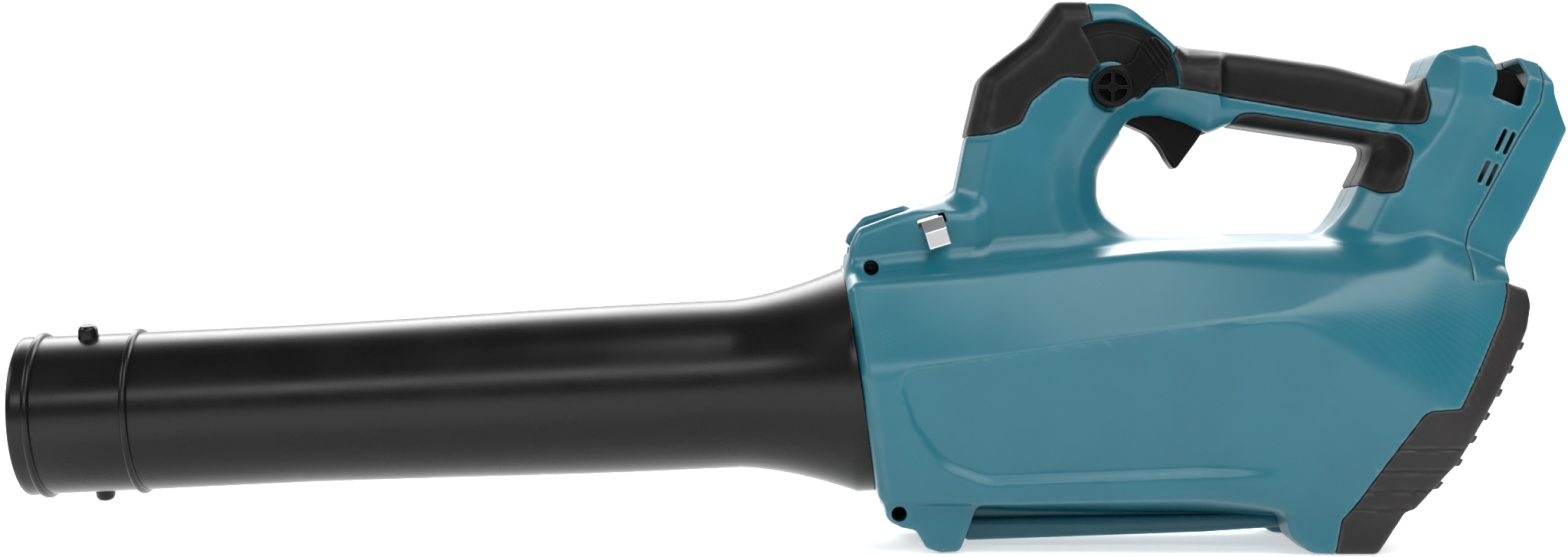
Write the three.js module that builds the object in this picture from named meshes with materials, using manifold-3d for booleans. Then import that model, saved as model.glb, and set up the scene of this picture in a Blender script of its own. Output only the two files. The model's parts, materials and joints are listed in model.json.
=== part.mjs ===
// Cordless leaf blower: a one-hand blower with an axial fan in a tilted barrel.
// Millimetres. +X runs from the air tip to the battery end, +Y to the tool's right, +Z up.
// The feet stand on z = 0 and the origin is under the middle of the tool.

import * as THREE from 'three';
import { mergeVertices } from 'three/addons/utils/BufferGeometryUtils.js';
import Module from 'manifold-3d';

const wasm = await Module();
wasm.setup();

const DEG = Math.PI / 180;
const GAP = 0.3;
const WALL = 3;
const FAR = 500;

// Air duct: every round piece of the air path shares this tilted axis.
const DUCT_TILT = 2.65 * DEG;
const DUCT_X = 34;
const DUCT_Z = 81.2;
const DUCT_BORE_R = 51.5;
const DUCT_OUTER_R = 54;

// Nozzle tube.
const NOZZLE_LENGTH = 411;
const NOZZLE_WALL = 2.4;
const TUBE_R = 39.2;
const TIP_RIB_R = 41.1;
const TUBE_MOUTH_R = 41.8;
const FLARE_LENGTH = 60;
const FLARE_R = 56.5;
const FLARE_POWER = 1.6;
const SPIGOT_R = 50;
const SPIGOT_DEPTH = 25;
const SPIGOT_GROOVE = [12, 22];
const DUCT_START = 29;
const BAYONET_PIN_FROM_TIP = 34;
const BAYONET_PIN_TURN = 13 * DEG;
const BAYONET_PIN_R = 5.2;
const BAYONET_PIN_LENGTH = 8;
const FACE_TILT = 8.4 * DEG;
const FACE_TOP_X = 28.9;
const FACE_TOP_Z = 135;

// Motor barrel: [x, value] stations of its squarish oval section.
const BARREL_TOP = [[24, 146], [60, 151], [120, 154], [235, 154], [300, 153], [330, 148], [362, 132]];
const BARREL_BOTTOM = [[24, 22], [120, 19], [235, 17], [300, 13], [362, 10]];
const BARREL_HALF_WIDTH = [[24, 58], [60, 62], [120, 68], [200, 73], [300, 77], [330, 76.5], [362, 70]];
const BARREL_POWER = 2.7;
const BARREL_SIDES = 32;
const BARREL_STATIONS = 7;

// Upper body widths.
const HOOK_HALF = 24;
const BAR_HALF = 17;
const TOWER_HALF = 38;
const TOWER_CHAMFER = 11;
const TOWER_CHAMFER_DEPTH = 16;

// Outlines in the XZ plane: [x, z] or [x, z, corner radius].
const HOOK_OUTLINE = [
  [84, 138], [84, 172, 6], [90.5, 204, 20], [97, 231, 10], [121, 249.5, 8], [134, 266.8, 3],
  [168, 266.8, 16], [186, 252, 14], [197, 240], [197, 212], [186, 211, 12], [171, 208, 8],
  [156, 184, 16], [156, 168, 12], [172, 154], [172, 138],
];
const BAR_OUTLINE = [
  [186, 246.5], [232, 241.5, 60], [272, 236, 60], [322, 223], [322, 190], [290, 195.5, 8],
  [220, 206.3, 6], [209, 202.3, 4], [197, 208, 8], [186, 211],
];
const TOWER_OUTLINE = [
  [289, 199, 6], [303, 204, 5], [311, 223, 5], [319.5, 242, 6], [337, 245.4, 4], [366, 236.8, 4],
  [388, 229], [388, 118], [262, 118], [268, 157, 6], [274, 167, 8],
];
const SEAM = [
  [368.5, 240], [367.3, 223.8], [365.9, 216.4], [355.1, 198.7], [331.1, 154.6], [329.6, 145.7], [329.2, 131],
];
const DECK_OUTLINE = [
  [29.4, 130], [30, 147.5, 3], [36.4, 155.6, 4], [59.5, 164.2], [64, 167], [80, 171.5, 5],
  [90, 171.5], [90, 130],
];
const DECK_HALF = 27;
const FRONT_FOOT = [
  [45, 26], [47.6, 16.3, 3], [56, 11.9, 4], [63, 10.5, 3], [71, 0, 3], [84, 0, 2], [93, 26],
  [93, 44], [45, 44],
];
const REAR_FOOT = [[236, 26], [240.5, 8, 5], [250, 0, 6], [282, 0, 3], [296, 20], [296, 44], [236, 44]];
const KEEL_OUTLINE = [[80, 30], [84, 3], [205, 6.7], [244, 9.2], [246, 30]];
const FRONT_FOOT_Y = [30, 55];
const REAR_FOOT_Y = [34, 64];
const KEEL_HALF = 21;

// Intake grille: the line where it meets the housing, then its own outer profile.
const GRILLE_JOINT = [
  [346, 131], [345.8, 124.5, 8], [342, 113, 12], [335, 100, 10], [319.5, 69, 2], [303, 68, 8],
  [270, 23, 6], [264.4, 16.7], [261, -2],
];
const GRILLE_PROFILE = [
  [283, -2], [295, 18.7], [300, 20, 6], [320, 42.5], [344, 84, 30], [356, 106, 12], [359.2, 118, 6],
  [358.4, 127, 3], [349, 131],
];
const LOUVRE_COUNT = 8;
const LOUVRE_SLOT = 6.2;
const LOUVRE_PITCH = 11;
const LOUVRE_FIRST_Z = 24;
const GRILLE_FACE_X = 320;
const GRILLE_FACE_Z = 43;
const GRILLE_FACE_LEAN = 0.58;

const SCREEN_TILT = 31 * DEG;
const SCREEN_X = 312;
const SCREEN_Z = 66;

// Battery slide: the rear face leans forward by this much from the vertical.
const SLIDE_TILT = 25.5 * DEG;
const SLIDE_FACE = [366.3, 176];
const CHANNEL_HALF = 33;
const CHANNEL_DEPTH = 12;
const CHANNEL_MOUTH_HALF = 28.5;
const CHANNEL_LIP = 3.5;
const CHANNEL_FOOT = -14;
const MOUNT_OUTLINE = [
  [368.5, 233], [372.7, 227.5], [373.2, 220], [376, 211], [379, 203], [365, 172.5], [356.3, 155],
  [351, 147], [349.3, 140], [350, 131.3], [329.5, 131.3], [329.9, 145.7], [331.4, 154.6],
  [355.4, 198.7], [366.2, 216.4], [367.7, 223.8],
];
const SHOULDER = [
  [329.5, 131.3], [350, 131.3], [349.3, 140], [351, 147], [351, 160], [334, 160],
  [331.4, 154.6], [329.9, 145.7],
];
const NOTCH = [
  [339, 250], [345.1, 233.5], [345.5, 227.2], [342.9, 219.6], [356.6, 213.8], [360.3, 229], [353.3, 250],
];
const LINER = [[334, 206], [336, 226], [347, 233], [356, 231], [362, 222], [360, 212], [350, 203]];
const VENT_CENTRES = [[347, 197.9], [351, 196.3], [338.6, 182.6], [342.7, 181]];

// Soft grip pads, laid into the shell surface: outlines of the areas that they cover.
const PAD_THICKNESS = 2;
const HOOK_PAD = [
  [76, 201], [103, 202, 6], [116, 207, 5], [121, 218, 8], [136, 230.3, 8], [149.5, 230.5], [153, 246.5],
  [149, 266], [149, 275], [76, 275],
];
const TOP_PAD = [
  [199, 224.3], [236.5, 217.5], [285, 209.2], [306, 206.8, 5], [313, 206.5, 5], [315.5, 216, 4],
  [314.5, 232], [199, 256],
];
const FINGER_PAD = [
  [213, 198], [224, 212, 6], [232, 212.2, 4], [285, 204], [301, 201.3, 4], [306.5, 194, 5],
  [299.5, 173, 5], [290, 172.5, 6],
  [276, 181],
];

// Trigger.
const TRIGGER_PIVOT = [171.5, 213.5];
const TRIGGER_HALF = 8;
const TRIGGER_OUTLINE = [
  [173, 206], [181, 202.5, 8], [193.8, 184.6, 2], [204, 198.1, 20], [208, 204], [208.5, 209, 3],
  [205, 214.5, 2], [180, 219], [170, 219, 5], [166.3, 213, 3], [168, 208, 2],
];
const TRIGGER_SLOT = [[164, 205], [176, 196], [212, 196], [210.2, 217], [186, 221], [164, 221]];
const TRIGGER_PIN_R = 2.2;
const SWITCH_X = 203.5;

// Speed lever, turning about a shaft on the left side of the hump.
const LEVER_HUB = [160.7, 224.5];
const LEVER_HUB_R = 10;
const LEVER_REACH = 32;
const LEVER_FLOOR = 18.5;
const LEVER_FACE = 27.5;
const LEVER_SHAFT_R = 4;
const LEVER_REST = 36 * DEG;
const LEVER_SWING = 60 * DEG;
const LEVER_SPREAD = 17 * DEG;
const LEVER_POCKET_STEPS = 11;

// Nozzle latch on the front deck.
const LATCH_PIVOT = [62.2, 158.2];
const LATCH_HALF = 14;
const LATCH_OUTLINE = [
  [30.6, 149], [31.8, 153], [39, 161.2, 4], [58.6, 166.4, 2], [64, 163.8, 2], [65.8, 156, 3],
  [61.5, 154, 3], [56, 152], [55, 134],
  [51.4, 131.3], [50.8, 150.5], [38.6, 147], [33, 146],
];
const LATCH_POCKET = [
  [28, 143.5], [28, 166], [58.5, 173], [66.4, 173], [66.4, 151], [58, 151], [57, 126],
  [46.4, 126], [46.4, 143.5],
];
const LATCH_PIN_R = 1.5;

// Shoulder-strap hanger: one bent steel strip, its centre line in the YZ plane.
const HANGER_X = 75;
const HANGER_Z = 150;
const HANGER_LEAN = 17 * DEG;
const HANGER_WIDTH = 11;
const HANGER_THICK = 2;
const HANGER_LINE = [[22, 9.5], [28.5, 9.5], [33.5, 4], [33.5, -9]];

// Screws: [x, z], entering from the left (-1) or from the right (+1).
const SCREWS = [
  ['front_upper', 42.5, 136.1, -1], ['front_lower', 54.9, 18.5, -1], ['strut', 117, 163, 1],
  ['hook', 112, 193, 1],
  ['hump', 173, 256, 1], ['handle', 246, 212.8, 1], ['tower_front', 326, 231, 1], ['tower_base', 300, 163, 1],
  ['keel_front', 140, 12.5, 1], ['keel_rear', 228, 14, 1],
];
const SCREW_R = 1.8;
const SCREW_HEAD_R = 3.3;
const SCREW_HEAD_Y = 11;
const SCREW_END_Y = 10;
const BOSS_R = 4.9;

// Fan and motor, placed by distance behind the joint of nozzle and body.
const VANE_COUNT = 7;
const BLADE_COUNT = 9;
const MOTOR_R = 28.7;

// ---------------------------------------------------------------- geometry helpers

// Turns a closed three.js geometry into a solid with its faces pointing out.
function solid(geometry) {
  const bare = geometry.index ? geometry : geometry.clone();
  for (const name of Object.keys(bare.attributes)) {
    if (name !== 'position') bare.deleteAttribute(name);
  }
  const merged = mergeVertices(bare, 1e-4);
  const index = merged.index.array;
  const triangles = [];
  for (let i = 0; i < index.length; i += 3) {
    const [a, b, c] = [index[i], index[i + 1], index[i + 2]];
    if (a !== b && b !== c && c !== a) triangles.push(a, b, c);
  }
  const build = (order) => new wasm.Manifold(new wasm.Mesh({
    numProp: 3,
    vertProperties: Float32Array.from(merged.attributes.position.array),
    triVerts: Uint32Array.from(order),
  }));
  const made = build(triangles);
  return made.volume() > 0 ? made : build(triangles.reverse());
}

function geometryOf(body) {
  const mesh = body.getMesh();
  const geometry = new THREE.BufferGeometry();
  geometry.setAttribute('position', new THREE.BufferAttribute(mesh.vertProperties, 3));
  geometry.setIndex(new THREE.BufferAttribute(mesh.triVerts, 1));
  return geometry;
}

const join = (...bodies) => bodies.reduce((sum, body) => sum.add(body));
const cut = (body, ...tools) => tools.reduce((rest, tool) => rest.subtract(tool), body);

// Replaces each corner that has a radius by a round that touches both of its sides.
// A convex round tighter than the least radius stays a plain corner, so it can be offset.
function rounded(corners, least = 0, stepDegrees = 24) {
  const places = corners.map(([x, z]) => new THREE.Vector2(x, z));
  const sense = THREE.ShapeUtils.area(places) > 0 ? 1 : -1;
  const points = [];
  corners.forEach(([x, z, radius = 0], i) => {
    const corner = places[i];
    const before = places.at(i - 1).clone().sub(corner);
    const after = places[(i + 1) % places.length].clone().sub(corner);
    const turn = Math.PI - Math.abs(before.angleTo(after));
    const convex = after.cross(before) * sense > 0;
    const half = Math.tan(turn / 2);
    const reach = Math.min(radius * half, 0.45 * before.length(), 0.45 * after.length());
    if (reach === 0 || turn < 2 * DEG || (convex && reach / half <= least)) {
      points.push([x, z]);
      return;
    }
    const start = corner.clone().addScaledVector(before.normalize(), reach);
    const end = corner.clone().addScaledVector(after.normalize(), reach);
    const steps = Math.max(1, Math.round(turn / DEG / stepDegrees));
    for (let k = 0; k <= steps; k += 1) {
      const a = start.clone().lerp(corner, k / steps);
      const b = corner.clone().lerp(end, k / steps);
      const p = a.lerp(b, k / steps);
      points.push([p.x, p.y]);
    }
  });
  return points;
}

// An outline in XZ swept across Y, with chamfered rims and an optional offset of the outline.
function slab(corners, yFrom, yTo, { size = 0, depth = size, inset = 0 } = {}) {
  const round = rounded(corners, size + Math.max(inset, 0));
  const shape = new THREE.Shape(round.map(([x, z]) => new THREE.Vector2(x, z)));
  const geometry = new THREE.ExtrudeGeometry(shape, {
    depth: yTo - yFrom - 2 * depth,
    bevelEnabled: size > 0 || inset !== 0,
    bevelSize: size,
    bevelThickness: depth,
    bevelOffset: -size - inset,
    bevelSegments: 1,
  });
  geometry.rotateX(Math.PI / 2);
  geometry.translate(0, yTo - depth, 0);
  return solid(geometry);
}

const symmetricSlab = (corners, half, options) => slab(corners, -half, half, options);

// A box given by its two corners.
function block([x0, y0, z0], [x1, y1, z1]) {
  const geometry = new THREE.BoxGeometry(x1 - x0, y1 - y0, z1 - z0);
  geometry.translate((x0 + x1) / 2, (y0 + y1) / 2, (z0 + z1) / 2);
  return solid(geometry);
}

// A rod parallel to Y.
function rodY(x, z, radius, yFrom, yTo, sides = 16) {
  const geometry = new THREE.CylinderGeometry(radius, radius, yTo - yFrom, sides);
  geometry.translate(x, (yFrom + yTo) / 2, z);
  return solid(geometry);
}

const leftOnly = (body) => body.intersect(block([-FAR, -FAR, -FAR], [FAR + 100, -GAP / 2, FAR]));
const rightOnly = (body) => body.intersect(block([-FAR, GAP / 2, -FAR], [FAR + 100, FAR, FAR]));
const mirrored = (body) => body.mirror([0, 1, 0]);

// Moves a geometry whose axis is X onto the duct axis, with its origin at the nozzle joint.
function ontoDuct(geometry) {
  geometry.rotateY(-DUCT_TILT);
  geometry.translate(DUCT_X, 0, DUCT_Z);
  return geometry;
}

// A body of revolution about the duct axis, from [distance, radius] corners.
function turned(profile, sides = 30) {
  const points = profile.map(([u, r]) => new THREE.Vector2(r, u));
  if (profile[0][1] > 0) points.push(points[0].clone());
  const geometry = new THREE.LatheGeometry(points, sides);
  geometry.rotateZ(-Math.PI / 2);
  return solid(ontoDuct(geometry));
}

// A plain sleeve on the duct axis.
const ring = ([u0, u1], [inner, outer], sides = 24) => (
  turned([[u0, inner], [u0, outer], [u1, outer], [u1, inner]], sides)
);

// Linear interpolation in a list of [x, value] stations.
function along(stations, x) {
  const next = Math.max(1, stations.findIndex(([at]) => at >= x));
  const [x0, v0] = stations[next - 1];
  const [x1, v1] = stations[next];
  return v0 + (v1 - v0) * THREE.MathUtils.clamp((x - x0) / (x1 - x0), 0, 1);
}

// ---------------------------------------------------------------- housing

// The motor barrel: a cylinder drawn out into squarish ovals that change along X.
function barrel(inset = 0) {
  const xFrom = BARREL_TOP[0][0] + inset;
  const xTo = BARREL_TOP.at(-1)[0];
  const geometry = new THREE.CylinderGeometry(1, 1, 1, BARREL_SIDES, BARREL_STATIONS);
  const position = geometry.attributes.position;
  for (let i = 0; i < position.count; i += 1) {
    const [px, py, pz] = [position.getX(i), position.getY(i), position.getZ(i)];
    const x = xFrom + (xTo - xFrom) * (py + 0.5);
    const top = along(BARREL_TOP, x) - inset;
    const bottom = along(BARREL_BOTTOM, x) + inset;
    const half = along(BARREL_HALF_WIDTH, x) - inset;
    const squared = (v) => Math.sign(v) * Math.abs(v) ** (2 / BARREL_POWER);
    position.setXYZ(i, x, half * squared(px), (top + bottom) / 2 + ((top - bottom) / 2) * squared(pz));
  }
  return solid(geometry);
}

const towerChamfer = { size: TOWER_CHAMFER, depth: TOWER_CHAMFER_DEPTH };

// Everything above the barrel: hook and hump, handle bar, battery tower and front deck.
function upperBody(inset = 0) {
  const hook = symmetricSlab(HOOK_OUTLINE, HOOK_HALF - inset, { size: 4, inset });
  const bar = symmetricSlab(BAR_OUTLINE, BAR_HALF - inset, { size: 7, inset });
  const tower = symmetricSlab(TOWER_OUTLINE, TOWER_HALF - inset, { ...towerChamfer, inset });
  const deck = symmetricSlab(DECK_OUTLINE, DECK_HALF - inset, { size: 4, inset });
  return join(hook, bar, tower, deck);
}

function feet(inset = 0) {
  const front = slab(FRONT_FOOT, FRONT_FOOT_Y[0] + inset, FRONT_FOOT_Y[1] - inset, { size: 2, inset });
  const rear = slab(REAR_FOOT, REAR_FOOT_Y[0] + inset, REAR_FOOT_Y[1] - inset, { size: 2, inset });
  const keel = symmetricSlab(KEEL_OUTLINE, KEEL_HALF - inset, { size: 4, inset });
  return join(front, rear, mirrored(front), mirrored(rear), keel);
}

// The half space ahead of the slanted front face, as a large box.
function aheadOfFace(shift = 0) {
  const geometry = new THREE.BoxGeometry(FAR, FAR, FAR);
  geometry.translate(-FAR / 2 + shift, 0, 0);
  geometry.rotateY(-FACE_TILT);
  geometry.translate(FACE_TOP_X, 0, FACE_TOP_Z);
  return solid(geometry);
}

// The space behind the seam of the battery mount.
const behindSeam = () => symmetricSlab([...SEAM, [460, 131], [460, 260], [370, 260]], 90);

// The region of the intake grille, grown toward the housing by a gap.
function grilleRegion(shift) {
  return symmetricSlab([...GRILLE_JOINT.map(([x, z, r]) => [x + shift, z, r]), ...GRILLE_PROFILE], 95);
}

// The space that the intake grille and the housing leave open behind them.
function behindGrille() {
  return symmetricSlab([[283, -40], ...GRILLE_PROFILE, [480, 131], [480, -40]], 95);
}

function screwHoles() {
  return join(...SCREWS.map(([, x, z, side]) => {
    const clear = rodY(x, z, SCREW_R + GAP, -SCREW_END_Y - 4, SCREW_END_Y + 4, 8);
    const access = rodY(x, z, SCREW_HEAD_R + GAP, SCREW_HEAD_Y - 3, 90, 10);
    return clear.add(side > 0 ? access : mirrored(access));
  }));
}

function screwBosses(outer) {
  const rods = SCREWS.map(([, x, z]) => rodY(x, z, BOSS_R, -90, 90, 8));
  return join(...rods).intersect(outer);
}

// A point around the lever's hub.
const aroundHub = (radius, angle) => [
  LEVER_HUB[0] + radius * Math.cos(angle),
  LEVER_HUB[1] + radius * Math.sin(angle),
];

// The sunk sector in the hump that the speed lever sweeps.
function leverPocket(grow, floor) {
  const points = [];
  const reach = LEVER_REACH + 1.5 + grow;
  const lowest = LEVER_REST - LEVER_SPREAD - 32 * DEG;
  const share = (LEVER_REST + LEVER_SWING + LEVER_SPREAD + 4 * DEG - lowest) / LEVER_POCKET_STEPS;
  for (let k = 0; k <= LEVER_POCKET_STEPS; k++) points.push(aroundHub(reach, lowest + k * share));
  const sector = slab([...points, LEVER_HUB], -60, -floor, { inset: -grow - 2 });
  return sector.add(rodY(...LEVER_HUB, LEVER_HUB_R + 3 + grow, -60, -floor, 28));
}

// The hanger strip: a U that passes inside the deck and comes down outside it on both sides.
function hangerStrip(grow) {
  const half = HANGER_THICK / 2 + grow;
  const rightSide = HANGER_LINE.map(([y, z]) => new THREE.Vector2(y, z));
  const leftSide = HANGER_LINE.map(([y, z]) => new THREE.Vector2(-y, z)).reverse();
  const line = [...leftSide, ...rightSide];
  const face = (sign) => line.map((point, i) => {
    const before = point.clone().sub(line[Math.max(0, i - 1)]).normalize();
    const after = line[Math.min(line.length - 1, i + 1)].clone().sub(point).normalize();
    const way = before.clone().add(after).normalize();
    const mitre = before.lengthSq() && after.lengthSq() ? 1 / Math.cos(before.angleTo(after) / 2) : 1;
    return new THREE.Vector2(-way.y, way.x).multiplyScalar(sign * half * mitre).add(point);
  });
  const width = HANGER_WIDTH + 2 * grow;
  const shape = new THREE.Shape([...face(1), ...face(-1).reverse()]);
  const geometry = new THREE.ExtrudeGeometry(shape, { depth: width, bevelEnabled: false });
  geometry.rotateX(Math.PI / 2);
  geometry.rotateZ(Math.PI / 2);
  geometry.translate(-width / 2, 0, 0);
  geometry.rotateY(-HANGER_LEAN);
  geometry.translate(HANGER_X, 0, HANGER_Z);
  return solid(geometry);
}

// The outside of the tool drawn in by a distance, which backs the soft pads.
function core(inset) {
  return join(barrel(inset), upperBody(inset));
}

// Thickened places inside the shells that hold pins and shafts.
function bearings(outer) {
  const besideTrigger = rodY(...TRIGGER_PIVOT, 5, TRIGGER_HALF + 2 * GAP, HOOK_HALF);
  const leverEnd = rodY(...LEVER_HUB, 7, 10, HOOK_HALF);
  const latchWalls = symmetricSlab(LATCH_POCKET, LATCH_HALF + 4, { inset: -2 });
  return join(besideTrigger, mirrored(besideTrigger), leverEnd, latchWalls).intersect(outer);
}

function ventSlots() {
  return VENT_CENTRES.map(([x, z]) => {
    const geometry = new THREE.BoxGeometry(1.8, 2 * FAR, 11.5);
    geometry.rotateY(SLIDE_TILT);
    geometry.translate(x, 0, z);
    return solid(geometry);
  });
}

const allPads = [HOOK_PAD, TOP_PAD, FINGER_PAD];

function housing() {
  const outer = join(barrel(), upperBody(), feet());
  const inner = join(barrel(WALL), upperBody(WALL), feet(WALL));
  const hollow = cut(inner, leverPocket(WALL, LEVER_FLOOR - WALL), aheadOfFace(WALL));
  const padSeats = join(...allPads.map((area) => symmetricSlab(area, 60, { inset: -GAP })))
    .subtract(core(PAD_THICKNESS + GAP));
  const opening = turned([[-40, 0], [-40, SPIGOT_R + GAP], [40, SPIGOT_R + GAP], [40, 0]]);
  const ductRoom = turned([[15, 0], [15, DUCT_OUTER_R + 2], [212, DUCT_OUTER_R + 5], [212, 0]]);
  return cut(
    join(outer.subtract(hollow), screwBosses(outer), bearings(outer)),
    opening, ductRoom, screwHoles(), padSeats,
    aheadOfFace(), behindSeam(), grilleRegion(-GAP), behindGrille(),
    slab(TRIGGER_SLOT, -TRIGGER_HALF - 2 * GAP, TRIGGER_HALF + 2 * GAP),
    leverPocket(0, LEVER_FLOOR),
    rodY(...LEVER_HUB, LEVER_SHAFT_R + GAP, -HOOK_HALF - 10, 16),
    rodY(...TRIGGER_PIVOT, TRIGGER_PIN_R + GAP, -15, 15),
    symmetricSlab(LATCH_POCKET, LATCH_HALF + 2 * GAP),
    rodY(...LATCH_PIVOT, LATCH_PIN_R + GAP, -21, 21),
    hangerStrip(GAP), symmetricSlab(NOTCH, 2 * TOWER_HALF), ...ventSlots(),
  );
}

function softPads(area) {
  const skin = join(upperBody(), barrel()).subtract(core(PAD_THICKNESS));
  return cut(skin.intersect(symmetricSlab(area, 60)), screwHoles(), leverPocket(GAP, 0));
}

// ---------------------------------------------------------------- air path

const flareRadius = (u) => TUBE_MOUTH_R + (FLARE_R - TUBE_MOUTH_R) * (1 + u / FLARE_LENGTH) ** FLARE_POWER;

// The blowing tube: a plain rim, a rib just behind it, one further back, a slow taper and a flared root.
function nozzle() {
  const tip = -NOZZLE_LENGTH;
  const rib = (u, width) => [
    [u, TUBE_R], [u + 0.8, TIP_RIB_R], [u + width - 0.8, TIP_RIB_R], [u + width, TUBE_R],
  ];
  const flare = [-60, -42, -27, -13, 0].map((u) => [u, flareRadius(u)]);
  const outside = [
    [tip, TUBE_R - 0.7], [tip + 0.9, TUBE_R + 0.3], [tip + 5, TUBE_R],
    ...rib(tip + 7.5, 4), ...rib(tip + 55, 4), [tip + 126, TUBE_R], [tip + 171, TUBE_R + 1.4],
    ...flare, [14, FLARE_R],
  ];
  const bore = [
    [14, SPIGOT_R - 4], [0, SPIGOT_R - 4], [-60, TUBE_MOUTH_R - NOZZLE_WALL], [tip, TUBE_R - NOZZLE_WALL],
  ];
  const tube = turned([...outside, ...bore]).intersect(aheadOfFace(-GAP));
  const spigot = turned([
    [-12, SPIGOT_R - 3], [-12, SPIGOT_R], [SPIGOT_GROOVE[0], SPIGOT_R], [SPIGOT_GROOVE[0], SPIGOT_R - 1.3],
    [SPIGOT_GROOVE[1], SPIGOT_R - 1.3], [SPIGOT_GROOVE[1], SPIGOT_R], [SPIGOT_DEPTH, SPIGOT_R],
    [SPIGOT_DEPTH, SPIGOT_R - 4], [-10, SPIGOT_R - 4.5],
  ]);
  const pins = [0, Math.PI].map((turn) => {
    const geometry = new THREE.CylinderGeometry(BAYONET_PIN_R - 0.8, BAYONET_PIN_R, BAYONET_PIN_LENGTH, 20);
    geometry.rotateX(Math.PI / 2);
    geometry.translate(tip + BAYONET_PIN_FROM_TIP, 0, TUBE_R - 2.1 + BAYONET_PIN_LENGTH / 2);
    geometry.rotateX(BAYONET_PIN_TURN + turn);
    return solid(ontoDuct(geometry));
  });
  return join(tube, spigot, ...pins);
}

// Straight vanes between the duct wall and the sleeve that holds the motor.
function fanDuct() {
  const wall = ring([DUCT_START, 190], [DUCT_BORE_R, DUCT_OUTER_R], 30);
  const sleeve = ring([92, 140], [MOTOR_R + GAP, MOTOR_R + 2.3], 32);
  const vanes = Array.from({ length: VANE_COUNT }, (_, k) => {
    const geometry = new THREE.BoxGeometry(38, 2.2, 22);
    geometry.translate(116, 0, MOTOR_R + 12.5);
    geometry.rotateX(((k + 0.5) / VANE_COUNT) * 2 * Math.PI);
    return solid(ontoDuct(geometry));
  });
  return join(wall, sleeve, ...vanes);
}

const ductSeal = () => ring([SPIGOT_DEPTH + GAP, DUCT_START - GAP], [SPIGOT_R - 2, DUCT_OUTER_R], 30);

const tailCone = () => turned([
  [30, 0], [34, 5], [46, 13], [62, 21], [80, 26.5], [89.6, 28.5],
  [89.6, 26.5], [80, 24.4], [62, 18.6], [46, 10], [37, 0],
], 28);

const motorCase = () => turned([
  [90, 11.2], [90, MOTOR_R], [140, MOTOR_R], [140, MOTOR_R - 2.3], [93, MOTOR_R - 2.3], [93, 11.2],
], 28);

const motorEndPlate = () => ring([134, 137], [11.2, 26], 28);

const bearingRing = (u) => ring([u, u + 7], [4.2, 10.9]);

// Laminated stator with open slots between its teeth.
function motorStator() {
  const slots = Array.from({ length: 6 }, (_, k) => {
    const geometry = new THREE.BoxGeometry(40, 7, 9);
    geometry.translate(115, 0, 17);
    geometry.rotateX((k / 6) * 2 * Math.PI);
    return solid(ontoDuct(geometry));
  });
  return cut(ring([100, 130], [13.2, 26]), ...slots);
}

const motorRotor = () => turned([
  [86, 0], [86, 3.9], [99, 3.9], [99, 12.4], [131, 12.4], [131, 3.9], [179, 3.9], [179, 0],
], 24);

// Mixed-flow fan: a tapering hub with twisted blades that just clear the duct.
function impeller() {
  const hub = turned([[147, 4.2], [147, 31], [158, 30.5], [168, 25], [173, 15], [173, 4.2]], 28);
  const room = turned([[146, 20], [146, DUCT_BORE_R - 0.9], [172.5, DUCT_BORE_R - 0.9], [172.5, 20]], 32);
  const blades = Array.from({ length: BLADE_COUNT }, (_, k) => {
    const geometry = new THREE.BoxGeometry(2, 36, 30);
    geometry.rotateZ(38 * DEG);
    geometry.translate(159.5, 0, 37);
    geometry.rotateX((k / BLADE_COUNT) * 2 * Math.PI);
    return solid(ontoDuct(geometry));
  });
  return join(hub, ...blades.map((blade) => blade.intersect(room)));
}

const impellerNut = () => ring([173.4, 177.5], [4.9, 7.5], 6);

const inletBell = () => turned([
  [190.4, DUCT_BORE_R], [190.4, DUCT_OUTER_R], [199, 55.5], [204, 58.5],
  [206, 58.5], [206, 57], [201, 53.4], [196, DUCT_BORE_R],
]);

// Intake grille: closes the slanted rear of the barrel and forms the back half of the rear feet.
function intakeGrille() {
  const outer = join(barrel(), feet()).intersect(grilleRegion(0));
  const room = [...GRILLE_JOINT.map(([x, z]) => [x - 25, z]), ...GRILLE_PROFILE];
  const hollow = barrel(WALL).intersect(symmetricSlab(room, 95, { inset: 3.5 }));
  const slots = Array.from({ length: LOUVRE_COUNT }, (_, k) => {
    const z = LOUVRE_FIRST_Z + k * LOUVRE_PITCH;
    const x = GRILLE_FACE_X + (z - GRILLE_FACE_Z) * GRILLE_FACE_LEAN;
    const half = k === 0 ? 44 : 56;
    return block([x - 22, -half, z], [x + 22, half, z + LOUVRE_SLOT]);
  });
  return cut(outer.subtract(hollow), ...slots);
}

// Dust screen: a framed plate behind the louvres, open in a grid of windows.
function intakeScreen() {
  const tilt = (body) => body.rotate([0, SCREEN_TILT / DEG, 0]).translate([SCREEN_X, 0, SCREEN_Z]);
  const windows = [];
  for (const y of [-36, -12, 12, 36]) {
    for (const z of [-27, -9, 9, 27]) windows.push(block([-5, y - 10.5, z - 7.5], [5, y + 10.5, z + 7.5]));
  }
  return tilt(cut(block([-0.6, -50, -38], [0.6, 50, 38]), ...windows));
}

// ---------------------------------------------------------------- controls

const trigger = () => cut(
  symmetricSlab(TRIGGER_OUTLINE, TRIGGER_HALF, { size: 1.2 }),
  rodY(...TRIGGER_PIVOT, TRIGGER_PIN_R + GAP, -20, 20),
  rodY(...TRIGGER_PIVOT, 5.2, -4.3, 4.3),
);

const pinRing = ([x, z], inner, outer, half) => (
  cut(rodY(x, z, outer, -half, half, 20), rodY(x, z, inner, -50, 50))
);

const switchBody = () => cut(
  block([196, -8, 224.5], [226, 8, 237.8]),
  block([SWITCH_X - 3.3, -4.3, 200], [SWITCH_X + 3.3, 4.3, 250]),
);

const switchPlunger = () => block([SWITCH_X - 3, -4, 215.6], [SWITCH_X + 3, 4, 229.5]);

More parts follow.
